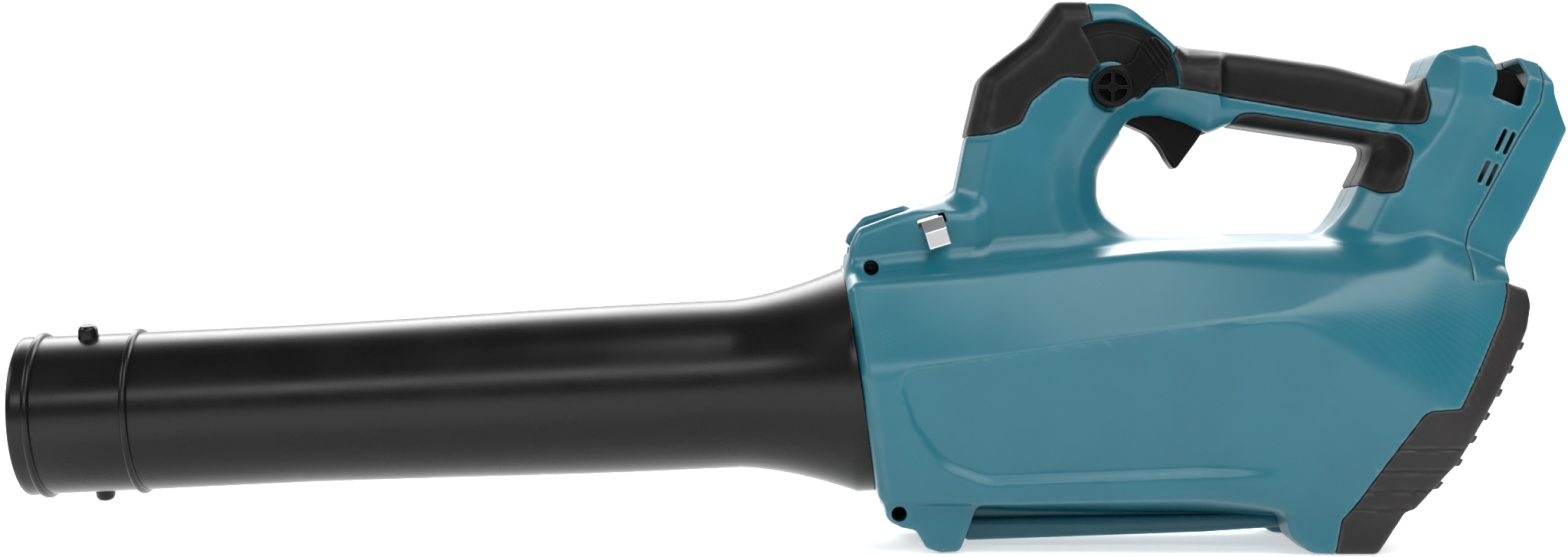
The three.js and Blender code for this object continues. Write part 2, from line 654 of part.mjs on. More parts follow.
// Speed lever: a round hub with an arm that ends in a thumb tab.
function speedLever() {
  const arm = [
    [LEVER_HUB_R, -100], [19, -30], [29, -17], [LEVER_REACH, -6], [LEVER_REACH, 10], [28, 17], [17, 22],
    [LEVER_HUB_R, 50],
  ].map(([radius, turn]) => aroundHub(radius, LEVER_REST + turn * DEG));
  const [outside, inside] = [-LEVER_FACE, -LEVER_FLOOR - GAP];
  const pockets = [45, 135, 225, 315].map((a) => (
    rodY(...aroundHub(5.4, a * DEG), 2.3, outside - 5, outside + 3, 10)
  ));
  return cut(
    join(rodY(...LEVER_HUB, LEVER_HUB_R, outside, inside, 28), slab(arm, outside, inside, { size: 1 })),
    ...pockets,
  );
}

const leverShaft = () => rodY(...LEVER_HUB, LEVER_SHAFT_R, -LEVER_FLOOR, 15);

const leverCam = () => cut(
  join(rodY(...LEVER_HUB, 7, -6, 6, 20), rodY(LEVER_HUB[0] - 3, LEVER_HUB[1] + 2, 6, -6, 6, 20)),
  rodY(...LEVER_HUB, LEVER_SHAFT_R + GAP, -20, 20),
);

const frictionWasher = () => cut(
  rodY(...LEVER_HUB, 8, -14.9, -13.7, 20),
  rodY(...LEVER_HUB, LEVER_SHAFT_R + GAP, -20, 20),
);

const nozzleLatch = () => cut(
  symmetricSlab(LATCH_OUTLINE, LATCH_HALF),
  rodY(...LATCH_PIVOT, LATCH_PIN_R + GAP, -20, 20),
  rodY(...LATCH_PIVOT, 4, -4.3, 4.3),
);

// ---------------------------------------------------------------- battery end

// A box in the frame of the battery slide: outward from the rear face, across, and up the slide.
function slideBox([n0, n1], [y0, y1], [s0, s1]) {
  const geometry = new THREE.BoxGeometry(n1 - n0, y1 - y0, s1 - s0);
  geometry.translate((n0 + n1) / 2, (y0 + y1) / 2, (s0 + s1) / 2);
  geometry.rotateY(SLIDE_TILT);
  geometry.translate(SLIDE_FACE[0], 0, SLIDE_FACE[1]);
  return solid(geometry);
}

// The rear of the tower: a plate with two rails that a battery slides down between.
function batteryMount() {
  const tail = symmetricSlab(MOUNT_OUTLINE, TOWER_HALF, { size: 1.5 });
  const shoulder = barrel().intersect(symmetricSlab(SHOULDER, 90)).subtract(barrel(WALL));
  const channel = join(
    slideBox([-CHANNEL_DEPTH, -CHANNEL_LIP], [-CHANNEL_HALF, CHANNEL_HALF], [CHANNEL_FOOT, 80]),
    slideBox([-CHANNEL_DEPTH, 30], [-CHANNEL_MOUTH_HALF, CHANNEL_MOUTH_HALF], [CHANNEL_FOOT, 80]),
  );
  return cut(join(tail, shoulder), channel, barrel(WALL));
}

const BLADE_PLACES = [-13.5, -4.5, 4.5, 13.5];

const terminalBlock = () => cut(
  slideBox([-CHANNEL_DEPTH + GAP, -4.5], [-20, 20], [-10, 30]),
  ...BLADE_PLACES.map((y) => slideBox([-9, 0], [y - 1.3, y + 1.3], [-8, 40])),
);

const terminalBlade = (y) => slideBox([-8.7, -5], [y - 0.5, y + 0.5], [-7.5, 29]);

const controllerCase = () => cut(
  block([308, -20, 163], [324, 20, 202]),
  block([310.5, -17.5, 165.5], [330, 17.5, 199.5]),
);

const controllerBoard = () => block([311, -17, 166], [320, 17, 199]);

const towerLiner = () => symmetricSlab(LINER, TOWER_HALF - WALL - 6);

// ---------------------------------------------------------------- screws

function screw(x, z, side) {
  const underHead = SCREW_HEAD_Y - 2.6;
  const points = [
    [0, -SCREW_END_Y], [SCREW_R, -SCREW_END_Y], [SCREW_R, underHead], [SCREW_HEAD_R, underHead],
    [SCREW_HEAD_R, SCREW_HEAD_Y], [0, SCREW_HEAD_Y],
  ];
  const geometry = new THREE.LatheGeometry(points.map(([r, y]) => new THREE.Vector2(r, y)), 8);
  geometry.translate(x, 0, z);
  const body = solid(geometry);
  return side > 0 ? body : mirrored(body);
}

// ---------------------------------------------------------------- scene graph

const plastic = { roughness: 0.45, metalness: 0 };
const FINISH = {
  body: { color: 0x2b7385, ...plastic },
  grip: { color: 0x322e2d, roughness: 0.85, metalness: 0 },
  black: { color: 0x1d1d1e, ...plastic },
  grey: { color: 0x5c6064, ...plastic },
  white: { color: 0xd8d6cf, ...plastic },
  steel: { color: 0xb4b6b8, roughness: 0.35, metalness: 1 },
  copper: { color: 0xb87333, roughness: 0.4, metalness: 1 },
  brass: { color: 0xc8a951, roughness: 0.35, metalness: 1 },
  rubber: { color: 0x161616, roughness: 0.9, metalness: 0 },
};

const blower = new THREE.Group();

function piece(name, finish, body) {
  const material = new THREE.MeshStandardMaterial(FINISH[finish]);
  const mesh = new THREE.Mesh(geometryOf(body), material);
  mesh.name = name;
  blower.add(mesh);
}

const largest = (body) => (
  body.decompose().reduce((best, part) => (part.volume() > best.volume() ? part : best))
);

function halves(name, finish, body) {
  piece(`${name}_left`, finish, largest(leftOnly(body)));
  piece(`${name}_right`, finish, largest(rightOnly(body)));
}

halves('housing', 'body', housing());
halves('hook_pad', 'grip', softPads(HOOK_PAD));
halves('handle_pad', 'grip', softPads(TOP_PAD));
halves('finger_pad', 'grip', softPads(FINGER_PAD));

piece('nozzle_tube', 'black', nozzle());
piece('duct_seal', 'rubber', ductSeal());
piece('fan_duct', 'black', fanDuct());
piece('tail_cone', 'black', tailCone());
piece('motor_case', 'grey', motorCase());
piece('motor_stator', 'copper', motorStator());
piece('motor_end_plate', 'grey', motorEndPlate());
piece('motor_rotor', 'steel', motorRotor());
piece('bearing_front', 'steel', bearingRing(90.2));
piece('bearing_rear', 'steel', bearingRing(133));
piece('impeller', 'white', impeller());
piece('impeller_nut', 'steel', impellerNut());
piece('inlet_bell', 'black', inletBell());
piece('intake_grille', 'black', largest(intakeGrille()));
piece('intake_screen', 'grey', intakeScreen());

piece('trigger', 'black', trigger());
piece('trigger_pin', 'steel', rodY(...TRIGGER_PIVOT, TRIGGER_PIN_R, -14, 14, 14));
piece('trigger_spring', 'steel', pinRing(TRIGGER_PIVOT, TRIGGER_PIN_R + GAP, 4.6, 4));
piece('switch_body', 'black', switchBody());
piece('switch_plunger', 'white', switchPlunger());
piece('speed_lever', 'black', speedLever());
piece('lever_shaft', 'steel', leverShaft());
piece('lever_cam', 'white', leverCam());
piece('friction_washer', 'steel', frictionWasher());
piece('nozzle_latch', 'body', nozzleLatch());
piece('latch_pin', 'steel', rodY(...LATCH_PIVOT, LATCH_PIN_R, -20, 20, 12));
piece('latch_spring', 'steel', pinRing(LATCH_PIVOT, LATCH_PIN_R + GAP, 3.6, 4));
piece('strap_hanger', 'steel', hangerStrip(0));

piece('battery_mount', 'body', largest(batteryMount()));
piece('terminal_block', 'black', terminalBlock());
BLADE_PLACES.forEach((y, k) => piece(`terminal_blade_${k + 1}`, 'brass', terminalBlade(y)));
piece('controller_case', 'grey', controllerCase());
piece('controller_board', 'black', controllerBoard());
piece('tower_liner', 'black', towerLiner());

for (const [name, x, z, side] of SCREWS) piece(`screw_${name}`, 'steel', screw(x, z, side));

export default blower;
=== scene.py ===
"""Looks of the cordless leaf blower.

The moulded skins are built as distance fields on a grid of points and meshed at their zero level.
Shape code works in millimetres in the frame of the CAD model: +X to the battery end, +Z up, and
w is the distance from the middle plane, so one field serves the left and the right half.
"""

import json
import math

import bpy
import numpy as np
import openvdb
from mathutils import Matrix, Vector


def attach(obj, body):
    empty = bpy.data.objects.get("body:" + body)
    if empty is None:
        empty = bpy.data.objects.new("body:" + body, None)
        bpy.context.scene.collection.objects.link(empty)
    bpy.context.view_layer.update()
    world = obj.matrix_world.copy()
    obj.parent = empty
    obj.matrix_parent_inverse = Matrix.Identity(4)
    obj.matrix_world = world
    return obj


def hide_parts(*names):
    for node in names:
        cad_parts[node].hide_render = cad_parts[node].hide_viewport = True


DEG = math.pi / 180
MM = 0.001

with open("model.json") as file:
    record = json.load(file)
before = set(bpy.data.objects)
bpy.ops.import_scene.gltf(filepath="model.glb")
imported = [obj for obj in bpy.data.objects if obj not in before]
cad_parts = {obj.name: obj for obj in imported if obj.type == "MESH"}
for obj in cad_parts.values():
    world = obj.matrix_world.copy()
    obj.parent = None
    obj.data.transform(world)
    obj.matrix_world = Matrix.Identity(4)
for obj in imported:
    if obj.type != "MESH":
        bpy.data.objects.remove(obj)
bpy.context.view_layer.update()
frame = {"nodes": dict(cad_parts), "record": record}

BODY_STEP = 0.85
FINE = 1.0

# -------- driving dimensions

GAP = 0.3
WALL = 3.0
DUCT_TILT = 2.65 * DEG
DUCT_X, DUCT_Z = 34.0, 81.2
DUCT_ROOM_R = 57.0
DUCT_ROOM_MIDDLE, DUCT_ROOM_HALF = 113.0, 99.0

FACE_TILT = 8.4 * DEG
FACE_TOP_X, FACE_TOP_Z = 28.9, 135.0
BROW_X, BROW_Z, BROW_LEAN = 29.0, 137.4, 0.14
RIM_CHAMFER = 4.0
SPIGOT_HOLE_R = 50.6

# Stations [x, value] along the body: the corners of its section from the top down to the belly.
BODY_TOP = [
    [24, 145], [60, 151], [120, 154], [235, 154], [296, 153], [312, 161], [330, 155], [348, 147], [362, 138],
]
RIDGE_HALF = 45.0
RIDGE_Z = [
    [24, 127], [97, 133.5], [173, 143], [235, 146], [296, 147.5], [312, 154], [330, 147], [348, 139],
    [362, 131],
]
SIDE_HALF = [[24, 58], [60, 62.5], [120, 68], [200, 73], [300, 77], [330, 76.5], [362, 70]]
CREASE_Z = [[24, 82], [58, 88], [196, 108], [247, 114], [300, 112], [330, 100], [362, 84]]
LOW_HALF = [[24, 56], [60, 60], [120, 64.5], [200, 68], [260, 66], [300, 63], [362, 56]]
LOW_Z = [[24, 23], [92, 23.5], [198, 26.5], [228, 23], [245, 18.4], [262, 15.5], [300, 13], [362, 10]]
BELLY_HALF = 21.0
RIDGE_R, RIDGE_R_GAIN = 2.5, 12.0
CREASE_R, CREASE_R_GAIN = 2.0, 36.0
CREASE_SOFT_FROM, CREASE_SOFT_LENGTH = 228.0, 95.0
LOW_R, LOW_R_GAIN = 3.0, 2.0
BELLY_Z = [[24, 21], [120, 18], [235, 16], [300, 13], [362, 10]]

PANEL = [
    [53.5, 86, 9], [196, 107.5], [247, 116.5], [300, 119], [345, 119], [345, 38], [196, 39.2],
    [96, 35, 22], [76, 42, 24], [62, 61],
]
PANEL_DEPTH = 2.5
PANEL_FADE_FROM, PANEL_FADE_LENGTH = 190.0, 65.0

# Half widths of the hook, where its planed faces meet the outline named, and how fast they widen inward.
HOOK_HALF = 24.0
HOOK_FRONT_HALF = 14.0
HOOK_PAD_SWELL = 4.6
HOOK_FRONT_SLOPE = 0.8
HOOK_STEP_HALF, HOOK_STEP_SLOPE = 17.3, 0.27
HOOK_LIP_HALF, HOOK_LIP_SLOPE = 9.0, 0.95
BAR_HALF = 17.0
TOWER_HALF = 38.0
TOWER_FOLD_HALF, TOWER_FOLD_SLOPE = 37.2, 0.16
TOWER_RIDGE_HALF, TOWER_RIDGE_SLOPE = 35.2, 0.92
TOWER_TOP_HALF, TOWER_TOP_SLOPE = 28.5, 1.0
DECK_HALF = 27.0
DECK_TOP_Z, DECK_FALL = 171.5, 0.55
HOOK_EDGE = [
    [84, 172, 9], [90.5, 204, 20], [97, 231, 12], [121, 249.5, 10], [134, 266.8, 4], [168, 266.8, 22],
    [186, 252, 16], [199, 240],
]
HOOK = [[84, 130]] + HOOK_EDGE + [[214, 240], [214, 130]]
HOOK_FRONT = [[84, 90]] + HOOK_EDGE + [[300, 240], [300, 90]]
BAR = [[180, 247], [232, 241.6, 70], [272, 236, 60], [324, 222], [324, 188], [180, 196]]
OPENING = [
    [171.5, 208.5, 9], [156, 184, 16], [155.8, 166, 15], [172, 153.6, 12], [232, 154], [266, 157, 10],
    [275, 168.5, 12], [289.5, 196, 4], [220, 206.3, 6], [209, 202.3, 4], [197, 208, 8], [186, 211, 8],
]
TOWER = [
    [289, 199, 6], [303, 204, 5], [311, 223, 6], [319.5, 242, 7], [337, 245.4, 4], [366, 236.8, 4],
    [400, 226], [400, 112], [258, 112], [266, 157, 6], [274, 167, 8],
]
TOWER_TOP = [
    [250, 160], [303, 204], [311, 223, 6], [319.5, 242, 7], [337, 245.4, 4], [366, 236.8, 4], [420, 221],
    [420, 100], [250, 100],
]
TOWER_RIDGE = [
    [328.8, 300], [328.8, 231], [328, 221, 12], [322, 208], [314, 196], [299, 179, 10], [286, 150], [276, 90],
    [460, 90], [460, 300],
]
TOWER_FOLD = [[352, 300], [343.5, 216.6], [311.6, 160.2], [300, 90], [460, 90], [460, 300]]
DECK = [
    [29, 120], [29.8, 147.5, 4], [36.4, 155.6, 5], [59.5, 164.2, 2], [64, 167, 2], [80, 171.5, 6],
    [96, 171.5], [96, 120],
]
FRONT_FOOT = [
    [45, 30], [47.6, 16.3, 4], [56, 11.9, 5], [63, 10.5, 4], [68, 2, 4], [75, 0, 4], [84, 0.6, 4], [93.5, 26],
    [93.5, 48], [45, 48],
]
FRONT_FOOT_W = [30.0, 57.0]
REAR_FOOT = [
    [236, 26], [240.5, 8, 6], [250, 0.5, 8], [260, 0, 8], [282, 0, 4], [298, 21], [298, 44], [236, 44],
]
REAR_FOOT_W = [34.0, 64.0]
KEEL = [[86, 30], [88, 2.6, 3], [205, 6.7], [244, 9.2, 3], [247, 30]]
KEEL_HALF, KEEL_NECK_HALF = 25.0, 19.0
KEEL_NECK = [[86, 30], [87, 13], [245, 15], [247, 30]]

# The seam between the shells and the battery mount, and the joint above the grille.
SEAM_GAP = 0.12
SEAM_EDGE_R = 0.4
JOINT_Z = 129.6
MOUNT_FOOT_Z = JOINT_Z - 1.2
SEAM_FOOT_X = 329.2
SEAM = [
    [368.5, 250], [367.3, 223.8], [365.9, 216.4], [355.1, 198.7, 6], [331.1, 154.6, 8], [329.6, 145.7, 6],
]
MOUNT_REAR = [
    [300, 260], [366, 260], [368.5, 236], [372.7, 227.5, 3], [373.2, 220, 4], [376, 211, 4], [379, 203, 3],
    [365, 172.5], [356.3, 155, 8], [351, 147, 4], [349.3, 140, 4], [349, 131, 2], [347.5, 121], [300, 121],
]
NOTCH = [
    [337, 262], [345.1, 233.5, 3], [345.5, 227.2, 3], [342.9, 219.6, 1.5], [356.6, 213.8, 2], [360.3, 229, 6],
    [352, 262],
]
SLIDE_TILT = 25.5 * DEG
SLIDE_X, SLIDE_Z = 366.3, 176.0
LANE_MIDDLE, LANE_HALF_DEPTH, LANE_HALF = 7.75, 4.25, 33.0
LANE_MOUTH_DEPTH, LANE_MOUTH_HALF = 12.0, 28.5
LANE_FOOT = -14.0
VENT_HALF_WIDTH, VENT_HALF_LENGTH, VENT_FLOOR = 0.95, 5.8, 20.0
VENT_CENTRES = [[347, 197.9], [351, 196.3], [338.6, 182.6], [342.7, 181]]

GRILLE_JOINT = [
    [346, JOINT_Z], [345.8, 124.5, 10], [342, 113, 14], [335, 100, 16], [319.5, 69, 2], [303, 68, 9],
    [270, 23, 6], [264.4, 16.7], [260.6, -4],
]
GRILLE_REAR = [
    [283, -4], [295, 18.7, 3], [300, 20, 6], [320, 42.5], [344, 84, 30], [356, 106, 14], [359.2, 118, 8],
    [358.4, 127, 3], [350, JOINT_Z],
]
LOUVRE_SLOT = 6.2
LOUVRE_PITCH = 11.0
LOUVRE_FIRST_Z = 24.0
LOUVRE_SPAN = 80.0
SLOT_PHASE, SLOT_DEPTH, SLOT_INSET = 0.28, 14.0, 6.0
FIN_PHASE, FIN_DEPTH, FIN_INSET = 0.78, 8.0, 2.2
FIN_HALF = 1.9
FIN_PROUD = 0.5
GROOVE_HALF, GROOVE_DEPTH, GROOVE_FROM = 0.6, 0.9, 34.0
GROOVE_HEIGHTS = (50.0, 39.5, 30.0, 21.5)

PAD_THICKNESS = 2.0
PAD_PROUD = 0.45
HOOK_PAD = [
    [76, 200.5], [103, 202, 8], [116, 207, 7], [121, 218, 10], [136, 230.3, 12], [150.5, 229], [157, 240],
    [153, 246.5], [149, 266], [149, 276], [76, 276],
]
TOP_PAD = [
    [181, 226.6], [236.5, 217.5], [285, 209.2], [306, 206.8, 6], [313, 206.5, 6], [315.8, 216, 6], [314, 232],
    [198, 258], [194.5, 246],
]
FINGER_PAD = [
    [213, 196], [224, 212, 8], [232, 212.2, 4], [285, 204], [301, 201.3, 5], [306.5, 194, 7], [299.5, 173, 6],
    [290, 172.5, 8], [270, 184], [270, 196],
]

LEVER_HUB = [160.7, 224.5]
LEVER_HUB_R = 10.0
LEVER_FLOOR = 18.5
LEVER_FACE = 27.5
LEVER_REACH = 32.0
LEVER_REST = 36 * DEG
POCKET_LOW, POCKET_HIGH = 1, 117
POCKET_MARGIN, ARM_MARGIN = 1.6, 1.4
LINER = 1.4
LATCH_HALF = 14.0
LATCH_PIVOT = [62.2, 158.2]
LATCH_PIN_R = 1.9
LATCH = [
    [30.4, 149], [31.6, 153, 3], [39, 161.4, 5], [59, 167.2, 2], [65.4, 164.6, 3], [66, 156, 3],
    [61.5, 154, 3], [56, 152], [55, 134], [51.4, 131.3], [50.8, 150.5], [38.6, 147], [33, 146, 1],
]
LATCH_ROOM = [
    [26, 143.5], [26, 149], [36, 162], [58.5, 173], [66.8, 172], [66.8, 151], [58, 151], [57, 126],
    [46.4, 126], [46.4, 143.5],
]
HANGER_X, HANGER_Z = 75.0, 150.0
HANGER_LEAN = 17 * DEG
HANGER_LINE = [[0, 9.5], [22, 9.5], [28.5, 9.5], [33.5, 4], [33.5, -3.2]]
HANGER_WIDTH = 11.0
HANGER_THICK = 2.0
LEVER_ARM = [
    [158, 214.6], [166, 217.2], [174.5, 220.8, 5], [179.5, 226.5, 6], [188.8, 236, 4], [188.8, 242.4, 4],
    [182, 249, 3.5], [176.2, 248.6, 3], [169.5, 236.5, 8], [158, 234.2],
]
TUBE_LENGTH = 411.0
TUBE_R = 39.2
MOUTH_R = 41.8
FLARE_R = 56.4
SPIGOT_R = 50.0
PIN_FROM_TIP = 34.0
PIN_TURN = -13 * DEG
BLADES = 9
TRIGGER_PIVOT = [171.5, 213.5]
TRIGGER = [
    [173, 206], [181, 202.5, 10], [193.8, 184.2, 2.4], [204, 198.1, 24], [208, 204], [208.5, 209, 3],
    [205, 214.5, 2], [180, 219], [170, 219, 5], [166.3, 213, 3], [168, 208, 2],
]
TRIGGER_HALF = 8.0
DISH_CENTRE = [176, 189]
DISH_R = 14.4
PIN_R = 2.2
PIN_HALF = 11.0
TRIGGER_ROOM = [[164, 205], [176, 196], [212, 196], [210.4, 217], [186, 221], [164, 221]]

# Screws: x, z and the side that the head faces, -1 for the left.
SCREWS = {
    "front_upper": (42.5, 136.1, -1), "front_lower": (54.9, 18.5, -1), "strut": (117, 163, 1),
    "hook": (112, 193, 1), "hump": (173, 256, 1), "handle": (246, 212.8, 1), "tower_front": (326, 231, 1),
    "tower_base": (300, 163, 1), "keel_front": (140, 12.5, 1), "keel_rear": (228, 14, 1),
}
SCREW_HOLE_R = 3.6
SCREW_SEAT = 8.4
BOSS_R = 5.8

# -------- grid and field tools


class Grid:
    """Sample points x, w, z (millimetres) as arrays that broadcast together."""

    def __init__(self, low, high, step):
        counts = [int(round((b - a) / step)) + 1 for a, b in zip(low, high)]
        self.low = np.array(low, dtype=np.float64)
        self.step = step
        axes = [(a + step * np.arange(n)).astype(np.float32) for a, n in zip(low, counts)]
        self.x = axes[0][:, None, None]
        self.w = axes[1][None, :, None]
        self.z = axes[2][None, None, :]
        self.shape = tuple(counts)

    def part(self, x0, x1, z0, z1):
        """The sub-grid between these limits, and the slices that cut a field to it."""
        i0 = max(0, int((x0 - self.low[0]) / self.step))
        i1 = min(self.shape[0], int((x1 - self.low[0]) / self.step) + 2)
        k0 = max(0, int((z0 - self.low[2]) / self.step))
        k1 = min(self.shape[2], int((z1 - self.low[2]) / self.step) + 2)
        low = [self.low[0] + i0 * self.step, self.low[1], self.low[2] + k0 * self.step]
        high = [low[0] + (i1 - i0 - 1) * self.step, self.low[1] + (self.shape[1] - 1) * self.step,
                low[2] + (k1 - k0 - 1) * self.step]
        return Grid(low, high, self.step), (slice(i0, i1), slice(None), slice(k0, k1))


def rounded(corners, step=7 * DEG):
    """Replaces each corner that has a radius by a round that touches both of its sides."""
    spots = [np.array(c[:2], dtype=float) for c in corners]
    points = []
    for i, corner in enumerate(corners):
        radius = corner[2] if len(corner) > 2 else 0
        here = spots[i]
        before = spots[i - 1] - here
        after = spots[(i + 1) % len(spots)] - here
        reach_before, reach_after = np.linalg.norm(before), np.linalg.norm(after)
        before, after = before / reach_before, after / reach_after
        turn = math.pi - math.acos(float(np.clip(before @ after, -1, 1)))
        reach = min(radius * math.tan(turn / 2), 0.48 * reach_before, 0.48 * reach_after)
        if reach <= 0 or turn < DEG:
            points.append(here)
            continue
        steps = max(2, math.ceil(turn / step))
        for k in range(steps + 1):
            t = k / steps
            a = here + before * reach * (1 - t)
            b = here + after * reach * t
            points.append(a * (1 - t) + b * t)
    return np.array(points)


def outline(u, v, corners):
    """Signed distance from a closed outline in the plane of u and v, negative inside."""
    points = rounded(corners)
    u, v = np.broadcast_arrays(u, v)
    nearest = np.full(u.shape, 1e9, dtype=np.float32)
    inside = np.zeros(u.shape, dtype=bool)
    for (u0, v0), (u1, v1) in zip(points, np.roll(points, -1, axis=0)):
        du, dv = u1 - u0, v1 - v0
        length = du * du + dv * dv
        if length < 1e-9:
            continue
        t = np.clip(((u - u0) * du + (v - v0) * dv) / length, 0, 1)
        nearest = np.minimum(nearest, (u - u0 - t * du) ** 2 + (v - v0 - t * dv) ** 2)
        if dv != 0:
            crosses = ((v0 > v) != (v1 > v)) & (u < du * (v - v0) / dv + u0)
            inside ^= crosses
    distance = np.sqrt(nearest)
    return np.where(inside, -distance, distance).astype(np.float32)


def side_view(g, corners):
    """Signed distance from an outline in the side view."""
    return outline(g.x, g.z, corners)


def from_axis(g, x, z):
    """Distance from a line that crosses the tool at x, z."""
    return np.hypot(g.x - x, g.z - z)


def line_distance(u, v, points):
    """Distance from an open line of points."""
    nearest = np.float32(1e9)
    for (u0, v0), (u1, v1) in zip(points, points[1:]):
        du, dv = u1 - u0, v1 - v0
        t = np.clip(((u - u0) * du + (v - v0) * dv) / (du * du + dv * dv), 0, 1)
        nearest = np.minimum(nearest, (u - u0 - t * du) ** 2 + (v - v0 - t * dv) ** 2)
    return np.sqrt(nearest)


def both(a, b, radius=0.0):
    """What is inside both fields, with a round of this radius where they meet."""
    if np.isscalar(radius) and radius == 0:
        return np.maximum(a, b)
    corner = np.hypot(np.maximum(a + radius, 0), np.maximum(b + radius, 0))
    return np.minimum(np.maximum(a, b), -radius) + corner


def either(a, b, radius=0.0):
    """What is inside one field or the other, with a fillet of this radius."""
    if np.isscalar(radius) and radius == 0:
        return np.minimum(a, b)
    corner = np.hypot(np.maximum(radius - a, 0), np.maximum(radius - b, 0))
    return np.maximum(np.minimum(a, b), radius) - corner


def without(a, b, radius=0.0):
    """What is inside a but not inside b."""
    return both(a, -b, radius)


def slab(field, w, low, high, radius):
    """An outline's field swept from w = low to w = high."""
    return both(field, np.abs(w - (low + high) / 2) - (high - low) / 2, radius)


def ease(t):
    """A smooth step from 0 to 1."""
    t = np.clip(t, 0, 1)
    return t * t * (3 - 2 * t)


def profile(x, stations, blur=9.0):
    """Stations [x, value] read as a smooth curve."""
    places, values = zip(*stations)
    spread = np.linspace(-2, 2, 17)
    weights = np.exp(-spread ** 2)
    total = sum(k * np.interp(x + blur * s, places, values) for k, s in zip(weights, spread))
    return (total / weights.sum()).astype(np.float32)


def turned_frame(x, w, z):
    """Distance along the air duct and radius about it."""
    along = (x - DUCT_X) * math.cos(DUCT_TILT) + (z - DUCT_Z) * math.sin(DUCT_TILT)
    up = (z - DUCT_Z) * math.cos(DUCT_TILT) - (x - DUCT_X) * math.sin(DUCT_TILT)
    return along, np.hypot(w, up)


# -------- meshing


def sampled(field, places):
    """Trilinear reading of a field at places given in grid units."""
    top = np.array(field.shape) - 1.001
    places = np.clip(places, 0, top)
    cell = places.astype(np.int32)
    part = (places - cell).astype(np.float32)
    total = np.zeros(len(places), dtype=np.float32)
    for corner in range(8):
        offset = np.array([(corner >> 2) & 1, (corner >> 1) & 1, corner & 1])
        weight = np.prod(np.where(offset, part, 1 - part), axis=1)
        i, j, k = (cell + offset).T
        total += weight * field[i, j, k]
    return total


def slope(field, places, reach):
    """Gradient of a field in grid units, and how strongly the surface bends outward there."""
    pairs = []
    for axis in range(3):
        shift = np.zeros(3)
        shift[axis] = reach
        pairs.append((sampled(field, places + shift), sampled(field, places - shift)))
    gradient = np.stack([(a - b) / (2 * reach) for a, b in pairs], axis=1)
    bend = sum(a + b for a, b in pairs)
    return gradient, bend


def surface(grid, field, coarse=0.0):
    """Points, quads and triangles of the zero level, settled onto it, with normals and edge sharpness."""
    band = 3 * grid.step
    volume = openvdb.FloatGrid(band)
    volume.copyFromArray(np.ascontiguousarray(np.clip(field, -band, band), dtype=np.float32))
    points, triangles, quads = volume.convertToPolygons(isovalue=0.0, adaptivity=coarse)
    points = points.astype(np.float64)
    for _ in range(2):
        gradient, _bend = slope(field, points, 0.6)
        steep = np.maximum((gradient ** 2).sum(axis=1), 0.05 * grid.step ** 2)
        move = -(sampled(field, points) / steep)[:, None] * gradient
        size = np.linalg.norm(move, axis=1, keepdims=True)
        points += move * np.minimum(1, 0.35 / np.maximum(size, 1e-6))
    gradient, bend = slope(field, points, 0.9)
    gradient /= np.maximum(np.linalg.norm(gradient, axis=1, keepdims=True), 1e-6)
    return points * grid.step + grid.low, triangles, quads, gradient, bend / grid.step


def edge_wear_and_highlight(bend):
    """How strongly an edge shows wear and a painted highlight, from how sharply the surface bends there."""
    return np.clip(bend * 0.5, 0, 1)


def object_from(name, points, faces, normals=None, edge=None, flip=False):
    """A mesh object in metres from points in millimetres."""
    mesh = bpy.data.meshes.new(name)
    loops = [np.asarray(f)[:, ::-1] if flip else np.asarray(f) for f in faces if len(f)]
    sizes = np.concatenate([np.full(len(f), f.shape[1]) for f in loops])
    corners = np.concatenate([f.ravel() for f in loops]).astype(np.int32)
    mesh.vertices.add(len(points))
    mesh.vertices.foreach_set("co", (points * MM).astype(np.float32).ravel())
    mesh.loops.add(len(corners))
    mesh.loops.foreach_set("vertex_index", corners)
    mesh.polygons.add(len(sizes))
    mesh.polygons.foreach_set("loop_start", np.concatenate([[0], np.cumsum(sizes)[:-1]]).astype(np.int32))
    mesh.polygons.foreach_set("loop_total", sizes.astype(np.int32))
    mesh.update(calc_edges=True)
    mesh.validate()
    # The edge attribute drives both wear and a painted highlight along convex edges in the materials.
    if edge is not None and len(mesh.vertices) == len(edge):
        layer = mesh.attributes.new("edge", "FLOAT", "POINT")
        layer.data.foreach_set("value", edge.astype(np.float32))
    mesh.shade_smooth()
    if normals is not None and len(mesh.vertices) == len(normals):
        mesh.normals_split_custom_set_from_vertices(normals.astype(np.float32))
    made = bpy.data.objects.new(name, mesh)
    bpy.context.scene.collection.objects.link(made)
    return made


def skin(name, grid, field, side=0, coarse=0.0):
    """Meshes a field. side -1 or 1 makes one half; 0 mirrors the field about w = 0 first."""
    if side == 0:
        middle = int(round(-grid.low[1] / grid.step))
        half = field[:, middle:]
        field = np.concatenate([half[:, :0:-1], half], axis=1)
        whole = Grid([grid.low[0], -grid.step * (half.shape[1] - 1), grid.low[2]],
                     [grid.low[0] + grid.step, grid.low[1] + grid.step, grid.low[2] + grid.step], grid.step)
        whole.shape = field.shape
        grid = whole
    points, triangles, quads, normals, bend = surface(grid, field, coarse)
    mirror = side == -1
    if mirror:
        points[:, 1] *= -1
        normals[:, 1] *= -1
    made = object_from(name, points, [triangles, quads], normals, edge_wear_and_highlight(bend), flip=mirror)
    print(name, len(points), "points")
    return made


def placed(piece, body, slot, material, *nodes):
    """Puts a piece on its body in place of these CAD nodes."""
    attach(piece, body)
    if nodes:
        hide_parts(*nodes)
    piece.data.materials.clear()
    piece.data.materials.append(material)
    return piece


# -------- the moulded body


